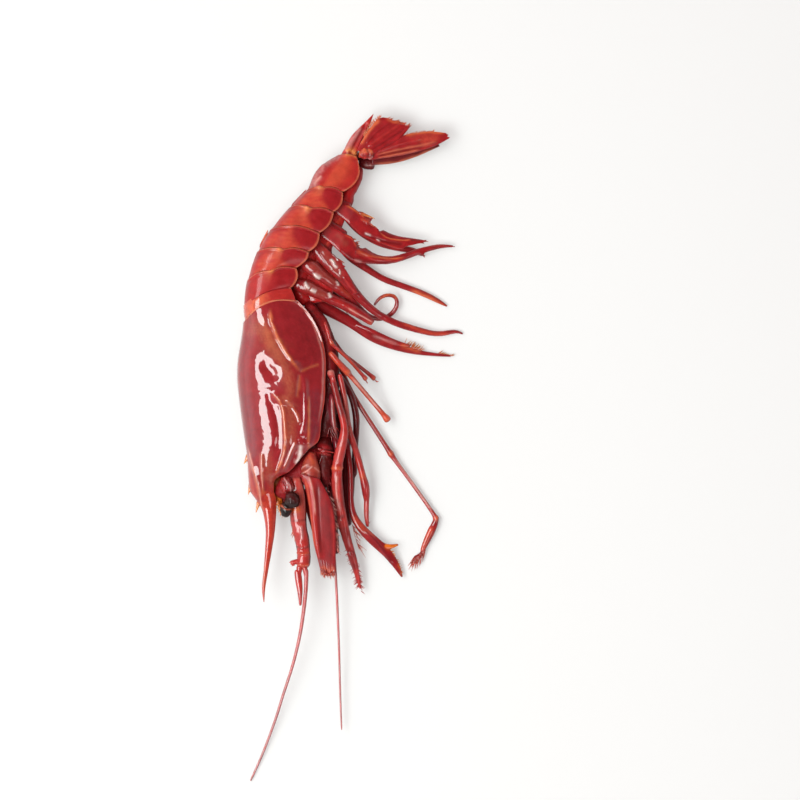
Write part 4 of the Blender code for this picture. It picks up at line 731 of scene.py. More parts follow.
        ridge(0.6, 0.5, PAINTED_HIGHLIGHT_WHITE, 0.9, (304.5, 283), (307, 287), (309.5, 289)),
        ridge(0.7, 0.4, PAINTED_HIGHLIGHT_WHITE, 0.9, (310.5, 289.5), (313.5, 291), (316.5, 292)),
        ridge(0.7, 0.4, PAINTED_HIGHLIGHT_WHITE, 0.9, (328.3, 293), (329.5, 295.5), (330.4, 298)),
        patch(1.0, PLATE_RED, 0.8, (333, 300), (345, 306), (360, 316)),
        # A painted highlight line along the strap.
        ridge(0.35, 0.2, PALE_PINK_AND_HIGHLIGHT, 0.9, (347, 307.5), (360, 315), (373, 322.5)),
        patch(1.0, LEG_ORANGE, 0.6, (368, 322), (374, 326)),
    ]),
    "swimmeret_1_right": Look("strap", "limb", LIMB_RED, 0.2, 0.0, [
        # A painted highlight on a small ridge.
        ridge(0.6, 0.3, GLINT_PINK, 0.6, (372, 335), (386, 340), (398, 344)),
        ridge(0.8, 0.3, LIMB_BRIGHT, 0.8, (380, 340), (400, 345), (420, 350)),
        patch(1.0, BLADE_ORANGE, 0.6, (400, 344), (412, 349), (420, 352)),
    ]),
    "swimmeret_2_left": Look("strap", "limb", LIMB_RED, 0.2, 0.06, [
        bump(4.0, 1.0, (308, 262), (314, 268)),
        # Painted sheen on the glassy root.
        patch(2.2, GLASSY_SHEEN_BROWN, 0.85, (312, 266), (322, 274), (334, 282)),
        # Painted white highlights on small ridges.
        ridge(0.7, 0.5, PAINTED_HIGHLIGHT_WHITE, 1.0, (314, 273), (317, 276.5), (320.5, 278.5)),
        ridge(0.5, 0.4, PAINTED_HIGHLIGHT_WHITE, 0.9, (336.6, 281.5), (337.6, 284), (338.4, 286.5)),
        ridge(0.5, 0.3, PAINTED_HIGHLIGHT_WHITE, 0.5, (331, 272.5), (334, 275)),
        ridge(1.6, 0.3, LIMB_RED, 0.8, (330, 290), (340, 296)),
        patch(1.0, PLATE_ORANGE, 0.4, (340, 288), (350, 296)),
        patch(0.6, BLADE_ORANGE, 0.6, (378, 303), (384, 296), (392, 294), (399, 300)),
    ]),
    "swimmeret_2_right": Look("strap", "limb", LIMB_RED, fatter=0.4),
    "swimmeret_3_left": Look("strap", "limb", LIMB_RED, 0.2, 0.06, [
        bump(4.0, -0.4, (321, 246), (328, 253)),
        # Painted highlights on small ridges.
        ridge(0.6, 0.6, GLINT_PINK, 0.7, (322, 250), (326, 258), (332, 266)),
        ridge(1.0, 0.5, GLINT_PINK, 0.7, (332, 254), (336, 262), (341, 272)),
        ridge(0.7, -0.4, LIMB_DARK_AND_SHADE, 0.6, (327, 254), (334, 266)),
        ridge(0.8, 0.2, LEG_ORANGE, 0.6, (400, 322), (430, 333), (460, 334)),
    ]),
    "swimmeret_3_right": Look("strap", "limb", LIMB_RED, fatter=0.4),
    "swimmeret_4_left": Look("strap", "limb", LIMB_RED, 0.25, 0.06, [
        bump(4.0, -0.8, (333, 230), (341, 238)),
        ridge(2.6, -2.0, LIMB_RED, 0.8, (349, 230), (358, 239), (365, 248)),
        ridge(1.6, 0.3, LIMB_PURPLE, 0.6, (338, 235), (346, 246), (354, 256)),
        ridge(0.9, 0.2, JOINT_ORANGE, 0.6, (356, 250), (372, 257), (392, 258)),
        patch(0.8, LEG_PINK, 0.6, (420, 248), (440, 245), (452, 246)),
    ]),
    "swimmeret_4_right": Look("strap", "limb", LIMB_RED, 0.2, 0.0, [
        patch(1.0, BLADE_ORANGE, 0.8, (410, 290), (425, 296), (436, 302), (447, 308)),
    ]),
    "swimmeret_5_left": Look("strap", "limb", LIMB_RED, 0.25, 0.06, [
        bump(4.0, -0.8, (345, 208), (351, 215)),
        ridge(2.0, -1.6, BLADE_ORANGE, 0.8, (352, 201), (360, 208), (367, 215)),
        ridge(2.4, -2.0, LIMB_RED, 0.8, (372, 219), (378, 224), (383, 230)),
        ridge(1.0, 0.3, PLATE_ORANGE, 0.6, (346, 210), (358, 218), (370, 222)),
        ridge(1.4, 0.3, LIMB_PURPLE, 0.6, (350, 214), (360, 226), (366, 236)),
    ]),
    "swimmeret_5_right": Look("strap", "limb", LIMB_RED, fatter=0.2),
}

# Pieces of hairs: slot, and the fringes along which they stand.
FRINGES = {
    "fan_fringe": ("tail_shell", [
        Fringe(at((364, 137), (372, 125), (381, 117)), (12.4, 12.0), (-2, -5), 1.8, 60, 0.2, BLADE_ORANGE,
               RIM_ORANGE),
        Fringe(at((386, 119.5), (394, 122.5), (402, 125), (409, 127.5)), (11.6, 11.4), (5, -4), 2.4, 44,
               0.4, PLATE_RED, BLADE_ORANGE),
        Fringe(at((406, 134), (418, 132.6), (434, 131.4)), (10.8, 10.4), (4, -4), 1.2, 50, 0.18,
               BLADE_ORANGE, RIM_ORANGE),
    ]),
    "limb_bristles": ("limb", [
        Fringe(at((327, 489), (332, 504), (335, 524), (336, 550)), (22.4, 18.8), (4, 6), 3.6, 60, 0.2,
               LIMB_BRIGHT, PALE_PINK_AND_HIGHLIGHT),
        Fringe(at((321, 569), (328, 573), (334, 571)), (18.2, 18.0), (1, 6), 3.2, 40, 0.3, LIMB_RED,
               JOINT_ORANGE),
        Fringe(at((349, 546), (353, 560), (357, 574), (360, 588)), (11.4, 5.6), (-4, 3), 3.2, 40, 0.3,
               LIMB_RED, LIMB_BRIGHT),
        Fringe(at((350, 548), (354, 561), (358, 575), (361, 592)), (11.4, 5.0), (5, 4), 3.0, 40, 0.3,
               LIMB_RED, LIMB_BRIGHT),
        Fringe(at((351, 518), (354, 532), (358, 546)), (9.0, 6.0), (7, 10), 7.0, 22, 0.2, LIMB_RED,
               BLADE_ORANGE),
        Fringe(at((366, 512), (367, 526)), (5.0, 4.0), (6, -2), 2.0, 12, 0.18, LIMB_RED, JOINT_ORANGE),
        Fringe(at((362, 376), (367, 382)), (9.8, 9.6), (4, 6), 1.3, 10, 0.4, LIMB_BRIGHT, JOINT_ORANGE),
        Fringe(at((373, 378), (377, 382)), (3.8, 3.6), (5, 4), 1.2, 8, 0.4, LIMB_BRIGHT, JOINT_ORANGE),
        Fringe(at((388, 549), (394, 560), (400, 574)), (5.4, 2.8), (6, -1), 2.2, 30, 0.35,
               TRANSLUCENT_ORANGE, TOOTH_ORANGE),
        Fringe(at((415, 556), (421, 553), (426, 546)), (2.6, 2.8), (-5, 11), 7.5, 60, 0.5, LIMB_RED,
               LEG_ORANGE),
        Fringe(at((429, 540), (433, 530)), (3.0, 3.0), (-9, 6), 3.0, 26, 0.3, LIMB_RED, LEG_ORANGE),
        Fringe(at((278, 500), (281, 508), (285, 514)), (17.0, 18.0), (-2, 6), 3.0, 26, 0.2, JOINT_ORANGE,
               TOOTH_ORANGE),
        Fringe(at((293, 516), (296, 534)), (17.6, 17.6), (-3, 6), 4.0, 9, 0.6, LIMB_BRIGHT, JOINT_ORANGE),
        Fringe(at((292, 561), (295, 565)), (18.2, 18.2), (-4, 2), 1.6, 10, 0.35, LIMB_BRIGHT, JOINT_ORANGE),
    ]),
    # Strands whose dark roots are partly painted shade.
    "mouth_strands": ("dark_flesh", [
        Fringe(at((320, 440), (324, 466), (331, 498)), (21.0, 17.6), (2, 9), 8.0, 46, 0.55, SHADE_DARKENED_FLESH,
               LIMB_RED),
        Fringe(at((326, 366), (329, 400), (331, 436)), (20.8, 20.8), (2, 10), 9.0, 40, 0.5, SHADE_DARKENED_FLESH,
               LIMB_RED),
        Fringe(at((316, 448), (322, 452)), (21.4, 21.6), (8, 2), 8.0, 6, 0.6, LIMB_RED, LIMB_BRIGHT),
    ]),
    "strap_bristles": ("limb", [
        Fringe(at((366, 221), (372, 226), (378, 229)), (13.6, 12.4), (8, 2), 2.2, 7, 0.6, LIMB_RED,
               BLADE_ORANGE),
        Fringe(at((350, 237), (355, 242), (357, 247)), (14.6, 12.8), (7, 1), 2.0, 9, 0.6, LIMB_RED,
               BLADE_ORANGE),
        Fringe(at((336, 262), (341, 268), (345, 275)), (15.0, 14.0), (7, 2), 2.2, 10, 0.6, LIMB_RED,
               BLADE_ORANGE),
        Fringe(at((408, 240), (416, 242), (424, 241)), (7.0, 5.8), (8, 2), 2.4, 30, 0.25, LIMB_RED,
               JOINT_ORANGE),
        Fringe(at((412, 250), (420, 252), (424, 255)), (2.4, 2.0), (4, 4), 2.2, 20, 0.3, LIMB_RED,
               LIMB_BRIGHT),
        Fringe(at((404, 344), (412, 348), (420, 351)), (3.2, 2.8), (5, -5), 3.4, 40, 0.2, LIMB_BRIGHT,
               TOOTH_ORANGE),
        Fringe(at((438, 353), (446, 355), (452, 356)), (1.8, 1.6), (6, -2), 2.4, 26, 0.2, LEG_ORANGE,
               TOOTH_ORANGE),
        Fringe(at((345, 309), (349, 312)), (6.0, 6.0), (2, 9), 6.0, 5, 0.12, LIMB_BRIGHT, PALE_PINK_AND_HIGHLIGHT),
    ]),
}


def smooth(rows, per_span):
    """Catmull-Rom: the rows of numbers, with per_span steps in each span."""
    rows = np.asarray(rows, float)
    padded = np.vstack([rows[:1], rows, rows[-1:]])
    share = np.linspace(0, 1, per_span, endpoint=False)[:, None]
    spans = []
    for before, start, end, after in zip(padded, padded[1:], padded[2:], padded[3:]):
        cube = 3 * (start - end) + after - before
        square = 2 * before - 5 * start + 4 * end - after
        spans.append(start + 0.5 * share * (end - before + share * (square + share * cube)))
    return np.vstack([*spans, rows[-1:]])


def flat(rib):
    """A rib's numbers as one row."""
    return (*rib.back, *rib.belly, *rib[2:])


def half_width_at(depth, edge):
    """The shell's half width, as a share of its greatest, at a share of the depth from the back."""
    above = np.clip(1 - depth / WIDEST_AT, 0, 1)
    below = np.clip((depth - WIDEST_AT) / (1 - WIDEST_AT), 0, 1)
    rounded_back = (1 - above ** ROUNDNESS) ** (1 / ROUNDNESS)
    return np.where(depth < WIDEST_AT, rounded_back, 1 - (1 - edge) * below ** 2)


def side_depths(count):
    """Shares of the depth down one side, closer together at both ends."""
    even = np.linspace(0, 1, count + 1)
    return (1 - CROWDING) * even + CROWDING * np.sin(0.5 * np.pi * even) ** 2


def shell_grid(rows, side_points, scale, shift):
    """A grid of points through ribs, (rib, point round it, xyz), and each point's share of the depth."""
    scale, shift = np.broadcast_to(scale, len(rows)), np.broadcast_to(shift, len(rows))
    back, belly = rows[:, 0:2], rows[:, 2:4]
    half_width, height, edge, recess, arc, scallop = (column[:, None] for column in rows[:, 4:].T)
    depth = np.linalg.norm(belly - back, axis=1)[:, None]
    across = (belly - back) / depth
    rearward = np.stack([-across[:, 1], across[:, 0]], axis=1)
    down = np.broadcast_to(side_depths(side_points), (len(rows), side_points + 1))
    upper = np.hstack([down, 1 - recess / depth])
    width = np.hstack([half_width * half_width_at(down, edge), half_width * edge * FLAP_ROOT])
    share = np.hstack([upper, upper[:, :0:-1]])
    width = np.hstack([width, -width[:, :0:-1]])
    inset = 0.5 + (share - 0.5) * scale[:, None]
    bulge = arc * np.sin(np.pi * inset) + scallop * abs(np.sin(2 * np.pi * inset)) + shift[:, None]
    plan = back[:, None] + across[:, None] * (depth * inset)[..., None]
    plan = plan + rearward[:, None] * bulge[..., None]
    level = height + width * scale[:, None]
    return np.dstack([plan, level]), share


def normals_of(grid):
    """The outward directions of a closed grid."""
    along = np.gradient(grid, axis=0)
    around = np.roll(grid, -1, axis=1) - np.roll(grid, 1, axis=1)
    normals = np.cross(along, around)
    normals /= np.maximum(np.linalg.norm(normals, axis=2, keepdims=True), 1e-9)
    outward = grid - grid.mean(axis=1, keepdims=True)
    return normals * np.sign((normals * outward).sum())


def nearest(points, path):
    """Each point's distance to a path in plan, its side of it and its share of the way along."""
    if len(path) == 1:
        path = np.vstack([path, path + SPOT_LENGTH])
    elif len(path) > 2:
        path = smooth(path, STROKE_STEPS)
    distance = np.full(len(points), np.inf)
    side, share = np.ones(len(points)), np.zeros(len(points))
    for index, (start, end) in enumerate(zip(path, path[1:])):
        run = end - start
        part = np.clip((points - start) @ run / (run @ run), 0, 1)
        away = points - start - part[:, None] * run
        reach = np.hypot(away[:, 0], away[:, 1])
        nearer = reach < distance
        distance[nearer] = reach[nearer]
        side[nearer] = np.sign(run[0] * away[:, 1] - run[1] * away[:, 0])[nearer]
        share[nearer] = ((index + part) / (len(path) - 1))[nearer]
    return distance, side, share


def ripple(points, size, seed):
    """A smooth random field over places in plan, from -1 to 1, with waves about this size."""
    random = np.random.default_rng(SEED + seed)
    total = np.zeros(len(points))
    for _ in range(WAVES):
        turn, phase = random.uniform(0, 2 * np.pi, 2)
        wave = 2 * np.pi / (size * random.uniform(*WAVE_SPREAD))
        total += np.sin(wave * (points[:, 0] * np.cos(turn) + points[:, 1] * np.sin(turn)) + phase)
    return 2 * total / WAVES


def bell(value, height, centre, width):
    """A bell curve: this high at the centre, and little at twice the width from it."""
    return height * np.exp(-((value - centre) / width) ** 2)


def mixed(tint, other, weight):
    """The tint, turned towards another colour."""
    return tint + (other - tint) * np.clip(weight, 0, 1)[..., None]


def soft_step(low, high, value):
    """0 at low, 1 at high, and smooth between them."""
    share = np.clip((value - low) / (high - low), 0, 1)
    return share * share * (3 - 2 * share)


def apply_strokes(points, tint, strokes):
    """The tint with the strokes painted on it, and the height that they add."""
    height = np.zeros(len(points))
    waver = 1 + WAVER * ripple(points, WAVER_SIZE, 1)
    for index, stroke in enumerate(strokes):
        distance, side, share = nearest(points, stroke.path)
        fade = np.clip(np.minimum(share, 1 - share) * FADE_RATE, 0, 1) if len(stroke.path) > 2 else 1.0
        if stroke.height:
            reach = np.where(side > 0, stroke.flank or stroke.width, stroke.width)
            height += bell(distance, stroke.height, 0.0, reach) * fade
        if stroke.colour is not None:
            weight = bell(distance, stroke.strength, 0.0, stroke.width * waver)
            if stroke.width > PATCHY_WIDTH:
                texture = PATCHY_BASE + WAVER * ripple(points, PATCHY_SIZE, index + 20)
                weight = weight * np.clip(texture, 0, 1)
            else:
                weight = weight * fade
            tint = tint + (stroke.colour - tint) * weight[:, None]
    return tint, height


def mottled(base, points, size, seed):
    """A colour for each point, a little lighter or darker from place to place."""
    return base * (1 + MOTTLE * ripple(points, size, seed))[:, None]


def embossed(grid, height, depth, calm):
    """The grid with relief on it, which dies away towards the back and the belly."""
    calm_back, calm_belly = calm
    calming = soft_step(0.0, calm_back, depth) * soft_step(1.0, calm_belly, depth)
    return grid + normals_of(grid) * (height * calming).reshape(grid.shape[:2])[..., None]


def grid_faces(rows, around, caps):
    """The quads of a closed grid, and at each end the faces that close it."""
    index = np.arange(rows * around).reshape(rows, around)
    turned = np.roll(index, -1, axis=1)
    quads = np.stack([index[:-1], turned[:-1], turned[1:], index[1:]], axis=-1).reshape(-1, 4)
    faces = [tuple(face) for face in quads.tolist()]
    for row, flip in ((index[0].tolist(), True), (index[-1].tolist(), False)):
        for corners in caps(around):
            corners = [row[corner] for corner in corners]
            faces.append(tuple(reversed(corners)) if flip else tuple(corners))
    return faces


def shell_cap(around):
    """The faces across a rib's ring, with the side flaps that stand out past the recessed belly."""
    root = around // 2
    last = int(FLAP_START * root)
    faces = [(0, 1, around - 1)]
    for index in range(1, last):
        faces.append((index, index + 1, around - index - 1, around - index))
    faces.append((last, root, around - root, around - last))
    for index in range(last, root - 1):
        faces.append((root, index, index + 1))
        faces.append((around - root, around - index - 1, around - index))
    return faces


def blade_cap(around):
    """The faces across a blade's ring, from its top to its underside."""
    half = around // 2
    return [(index, index + 1, around - 2 - index, around - 1 - index) for index in range(half - 1)]


def mesh_from(name, points, faces, tint):
    """A smooth mesh of points in millimetres, none below the floor, with a colour at each."""
    points = np.array(points)
    points[:, 2] = np.maximum(points[:, 2], 0.0)
    mesh = bpy.data.meshes.new(name)
    mesh.from_pydata((points * MM).tolist(), [], faces)
    shape = bmesh.new()
    shape.from_mesh(mesh)
    bmesh.ops.recalc_face_normals(shape, faces=shape.faces)
    shape.to_mesh(mesh)
    shape.free()
    paint(mesh, tint)
    mesh.shade_smooth()
    return mesh


def paint(mesh, tint):
    """Stores one colour per point."""
    attribute = mesh.color_attributes.new("tint", "FLOAT_COLOR", "POINT")
    rgba = np.ones((len(mesh.vertices), 4), np.float32)
    rgba[:, :3] = np.clip(tint, 0, 1)
    attribute.data.foreach_set("color", rgba.ravel())


def add_object(name, data):
    """A new object in the scene."""
    made = bpy.data.objects.new(name, data)
    bpy.context.scene.collection.objects.link(made)
    return made


def add_piece(name, mesh, finish, slot, *nodes):
    """A piece of the prawn that rides on its body, in place of these nodes."""
    piece = add_object(name, mesh)
    mesh.materials.clear()
    mesh.materials.append(finish)
    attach(piece, "root")
    if nodes:
        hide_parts(*nodes)


def new_finish(name, **values):
    """A new material whose shader has these inputs, written with _ for each space, and its node tree."""
    made = bpy.data.materials.new(name)
    made.use_nodes = True
    set_inputs(made.node_tree.nodes["Principled BSDF"], **values)
    return made, made.node_tree


def set_inputs(node, **values):
    """Sets a node's inputs. Their names are written with _ for each space."""
    for name, value in values.items():
        node.inputs[name.replace("_", " ")].default_value = value


def add_node(tree, kind, **values):
    """A new shader node of this kind, with these inputs."""
    made = tree.nodes.new("ShaderNode" + kind)
    set_inputs(made, **values)
    return made


def link(tree, *ends):
    """Joins each pair of sockets."""
    for source, target in ends:
        tree.links.new(source, target)


def noise(tree, size, detail):
    """A noise texture whose features are about this many millimetres across."""
    made = add_node(tree, "TexNoise", Scale=1 / (size * MM), Detail=detail)
    where = add_node(tree, "TexCoord")
    link(tree, (where.outputs["Object"], made.inputs["Vector"]))
    return made.outputs["Fac"]


def ranged(tree, source, low, high):
    """A noise spread over another range."""
    start, end = NOISE_RANGE
    made = add_node(tree, "MapRange", From_Min=start, From_Max=end, To_Min=low, To_Max=high)
    link(tree, (source, made.inputs["Value"]))
    return made.outputs["Result"]


def wet_finish(name, finish):
    """A wet surface: painted colour, blotched and grained, over soft flesh and under a clear film."""
    made, tree = new_finish(
        name, Coat_Weight=finish.coat, Coat_Roughness=finish.film, Coat_IOR=FILM_IOR,
        Specular_IOR_Level=DULL_SPECULAR, Subsurface_Weight=finish.flesh,
        Subsurface_Radius=FLESH_RADII, Subsurface_Scale=FLESH_DEPTH * MM,
    )
    shader = tree.nodes["Principled BSDF"]
    tint = add_node(tree, "Attribute")
    tint.attribute_name = "tint"
    blotches = noise(tree, finish.patches, BLOTCH_DETAIL)
    grains = noise(tree, finish.grain, GRAIN_DETAIL)
    shade, speckle = add_node(tree, "HueSaturation"), add_node(tree, "HueSaturation")
    relief = add_node(tree, "Bump", Distance=BUMP_DEPTH * MM, Strength=finish.bump)
    smoothest, roughest = (finish.roughness * share for share in ROUGHNESS_RANGE)
    link(
        tree,
        (tint.outputs["Color"], shade.inputs["Color"]),
        (ranged(tree, blotches, *BLOTCH_RANGE), shade.inputs["Value"]),
        (shade.outputs["Color"], speckle.inputs["Color"]),
        (ranged(tree, grains, *GRAIN_RANGE), speckle.inputs["Value"]),
        (speckle.outputs["Color"], shader.inputs["Base Color"]),
        (ranged(tree, blotches, smoothest, roughest), shader.inputs["Roughness"]),
        (grains, relief.inputs["Height"]),
        (relief.outputs["Normal"], shader.inputs["Normal"]),
    )
    return made


def make_shield(finish):
    """The head shield with its rostrum, its ridges and its plates."""
    rows = smooth([flat(rib) for rib in SHIELD_RIBS], SHIELD_STEPS)
    grid, depth = shell_grid(rows, SIDE_POINTS, 1.0, 0.0)
    plan, depth = grid[..., :2].reshape(-1, 2), depth.ravel()
    tint = np.tile(SHIELD_RED, (len(plan), 1))
    tint = mixed(tint, EDGE_ORANGE, soft_step(0.975, 0.99, depth))
    tint = mixed(tint, EDGE_ORANGE, 0.6 * soft_step(0.05, 0.0, depth))
    tint, height = apply_strokes(plan, tint, SHIELD_STROKES)
    height += 0.05 * ripple(plan, 7.0, 2) + 0.02 * ripple(plan, 2.4, 3)
    height -= REAR_DIP * soft_step(*DIP_SPAN, plan[:, 1])
    half_width = rows[:, 4]
    slim = np.repeat(np.clip(half_width / FULL_RELIEF_HALF_WIDTH, LEAST_RELIEF, 1.0), grid.shape[1])
    raised = embossed(grid, height * slim, depth, SHIELD_CALM)
    rim = [shell_grid(rows[:1], SIDE_POINTS, scale, shift)[0] for scale, shift in SHIELD_RIM]
    points = np.vstack([*rim, raised]).reshape(-1, 3)
    rim_tint = np.tile(RIM_ORANGE, (len(rim) * grid.shape[1], 1))
    faces = grid_faces(len(rows) + len(rim), grid.shape[1], shell_cap)
    mesh = mesh_from("shield_shell", points, faces, np.vstack([rim_tint, tint]))
    add_piece("shield_shell", mesh, finish, "head_shield", "carapace")


def segment_rows(number, shares):
    """The ribs of one tail segment at shares of its length, swollen between its ends."""
    front, rear = np.array(flat(TAIL_RIBS[number - 1])), np.array(flat(TAIL_RIBS[number]))
    is_last = number == LAST_SEGMENT
    inside = np.clip(shares, 0, 1)[:, None]
    rows = front + (rear - front) * inside
    across = rows[:, 2:4] - rows[:, 0:2]
    across /= np.linalg.norm(across, axis=1, keepdims=True)
    rows[:, 0:2] -= across * (LAST_BACK_SWELL if is_last else BACK_SWELL) * np.sin(np.pi * inside ** 1.3)
    rows[:, 2:4] += across * (LAST_LOBE if is_last else LOBE) * np.sin(np.pi * inside ** 0.8)
    return rows


def segment_tint(number, along, depth, plan):
    """The colours of one tail segment, by the share of its length and of its depth."""
    if number == 1:
        tint = np.tile(PLEURON_RED, (len(along), 1))
        tint = mixed(tint, PLATE_RED, 0.6 * soft_step(0.75, 0.35, depth))
    elif number == LAST_SEGMENT:
        tint = np.tile(PLATE_RED, (len(along), 1))
        tint = mixed(tint, PLATE_ORANGE, 0.8 * soft_step(0.3, 0.45, depth) * soft_step(0.9, 0.6, depth))
        tint = mixed(tint, PLEURON_RED, 0.7 * soft_step(0.34, 0.2, depth))
    else:
        tint = np.tile(PLATE_ORANGE, (len(along), 1))
        bands = 0.5 + 0.5 * ripple(plan * (0.3, 1.0), 2.2, number)
        tint = mixed(tint, PLATE_RED, 0.8 * bands + 0.6 * soft_step(0.25, 0.05, depth))
        border = 0.44 + 0.42 * (1 - along) ** 2.4
        tint = mixed(tint, PLEURON_RED, soft_step(border - 0.07, border + 0.11, depth))
        tint = mixed(tint, PLEURON_RED, 0.7 * soft_step(0.55, 0.85, along) * soft_step(0.45, 0.3, depth))
    tint = mixed(tint, RIM_ORANGE, 0.5 * soft_step(0.95, 0.975, along))
    return mixed(tint, RIM_ORANGE, 0.6 * soft_step(0.945, 0.98, depth))


def make_segment(number, finish):
    """One ringed tail segment, with a bead along its rear edge and a knob at its hinge."""
    steps = np.linspace(0, 1, SEGMENT_STEPS)
    own_rows = np.stack([steps, TUCK + (1 - TUCK) * steps ** 0.5, np.where(steps > 0, 0.0, GAP)], axis=1)
    shares, scale, shift = np.vstack([SEGMENT_FRONT, own_rows, SEGMENT_EDGE]).T
    rows = segment_rows(number, shares)
    grid, depth = shell_grid(rows, SEGMENT_SIDE_POINTS, scale, shift)
    plan, depth = grid[..., :2].reshape(-1, 2), depth.ravel()
    along = np.repeat(np.clip(shares, 0, 1), grid.shape[1])
    tint = segment_tint(number, along, depth, plan)
    height = bell(along, *EDGE_BEAD) + bell(along, *EDGE_GROOVE) + 0.04 * ripple(plan, 5.0, 30 + number)
    if number in HINGES:
        distance = np.hypot(*(plan - HINGES[number][0]).T)
        height += bell(distance, *HINGE_KNOB)
        tint = mixed(tint, HINGE_ORANGE, bell(distance, *HINGE_SPOT))
        tint = mixed(tint, RIM_ORANGE, bell(distance, *HINGE_HALO) * soft_step(0.56, 0.46, depth))
    tint, relief = apply_strokes(plan, tint, RING_STROKES.get(number, ()))
    raised = embossed(grid, height + relief, depth, SEGMENT_CALM)
    name = f"tail_ring_{number}"
    faces = grid_faces(len(rows), grid.shape[1], shell_cap)
    mesh = mesh_from(name, raised.reshape(-1, 3), faces, tint)
    add_piece(name, mesh, finish, "tail_shell", f"somite_{number}")


def make_waist(finish):
    """The soft ring between the head shield and the first tail segment."""
    front, rear = np.array(flat(SHIELD_RIBS[0])), np.array(flat(TAIL_RIBS[0]))
    shares = np.linspace(0, 1, WAIST_STEPS)
    rows = front + (rear - front) * shares[:, None]
    scale = WAIST_TUCK + WAIST_SWELL * np.sin(np.pi * shares)
    shift = np.linspace(-WAIST_REACH, WAIST_REACH, WAIST_STEPS)
    grid, depth = shell_grid(rows, SEGMENT_SIDE_POINTS, scale, shift)
    plan = grid[..., :2].reshape(-1, 2)
    tint = mixed(np.tile(WAIST_ORANGE, (len(plan), 1)), PLATE_RED, 0.15 + 0.4 * ripple(plan, 3.0, 50))
    tint = mixed(tint, PLATE_RED, soft_step(0.42, 0.62, depth.ravel()))
    faces = grid_faces(WAIST_STEPS, grid.shape[1], shell_cap)
    mesh = mesh_from("waist_skin", grid.reshape(-1, 3), faces, tint)
    add_piece("waist_skin", mesh, finish, "soft_skin", "waist_membrane")


def rounded(node):
    """A finer, rounder copy of a solid's mesh: its places in millimetres, outward directions and mesh."""
    shape = bmesh.new()
    shape.from_mesh(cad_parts[node].data)
    bmesh.ops.remove_doubles(shape, verts=shape.verts, dist=WELD * MM)
    bmesh.ops.join_triangles(
        shape, faces=shape.faces,
        angle_face_threshold=math.radians(QUAD_FOLD), angle_shape_threshold=math.radians(QUAD_SKEW),
    )
    coarse = bpy.data.meshes.new(node + "_coarse")
    shape.to_mesh(coarse)
    shape.free()
    carrier = add_object(node + "_carrier", coarse)
    divide = carrier.modifiers.new("round", "SUBSURF")
    divide.levels = LIMB_LEVELS
    divide.render_levels = LIMB_LEVELS
    bpy.context.view_layer.update()
    graph = bpy.context.evaluated_depsgraph_get()
    mesh = bpy.data.meshes.new_from_object(carrier.evaluated_get(graph), depsgraph=graph)
    bpy.data.objects.remove(carrier)
    points = np.empty(len(mesh.vertices) * 3)
    mesh.vertices.foreach_get("co", points)
    normals = np.array([vertex.normal for vertex in mesh.vertices])
    return points.reshape(-1, 3) / MM, normals, mesh


def dress(node, look, finish):
    """A limb: its rounded solid, with the joints and colours of its look."""
    points, normals, mesh = rounded(node)
    plan = points[:, :2]
    tint = mottled(look.base, plan, 6.0, len(node))
    tint, height = apply_strokes(plan, tint, look.strokes)
    # Painted shade and painted rim light: steep sides turn towards the finish's side colour.
    if look.finish in SIDE_SHADE_AND_RIM_LIGHT_COLOURS:
        tint = mixed(tint, SIDE_SHADE_AND_RIM_LIGHT_COLOURS[look.finish], SIDE_SHADE * soft_step(*SIDE_SLOPES, normals[:, 2]))
    height += look.beads * ripple(plan, BEAD_SIZE, 60)
    points = points + normals * (height + look.fatter)[:, None]
    points[:, 2] = np.maximum(points[:, 2], 0.0)
    mesh.vertices.foreach_set("co", (points * MM).ravel())
    mesh.name = node + "_skin"
    paint(mesh, tint)
    mesh.shade_smooth()
    mesh.update()
    add_piece(node + "_skin", mesh, finish, look.slot, node)


def resampled(path, count):
    """Evenly spaced places along the smooth curve through a path's points."""
    curve = smooth(path, CURVE_STEPS)
    run = np.concatenate([[0.0], np.cumsum(np.linalg.norm(np.diff(curve, axis=0), axis=1))])
    stops = np.linspace(0, run[-1], count)
    return np.stack([np.interp(stops, run, column) for column in curve.T], axis=1)


def on_curve(curve, share):
    """Places on a curve of evenly spaced points, at any array of shares of its length."""
    stops = np.linspace(0, 1, len(curve))
    return np.stack([np.interp(share, stops, column) for column in curve.T], axis=-1)


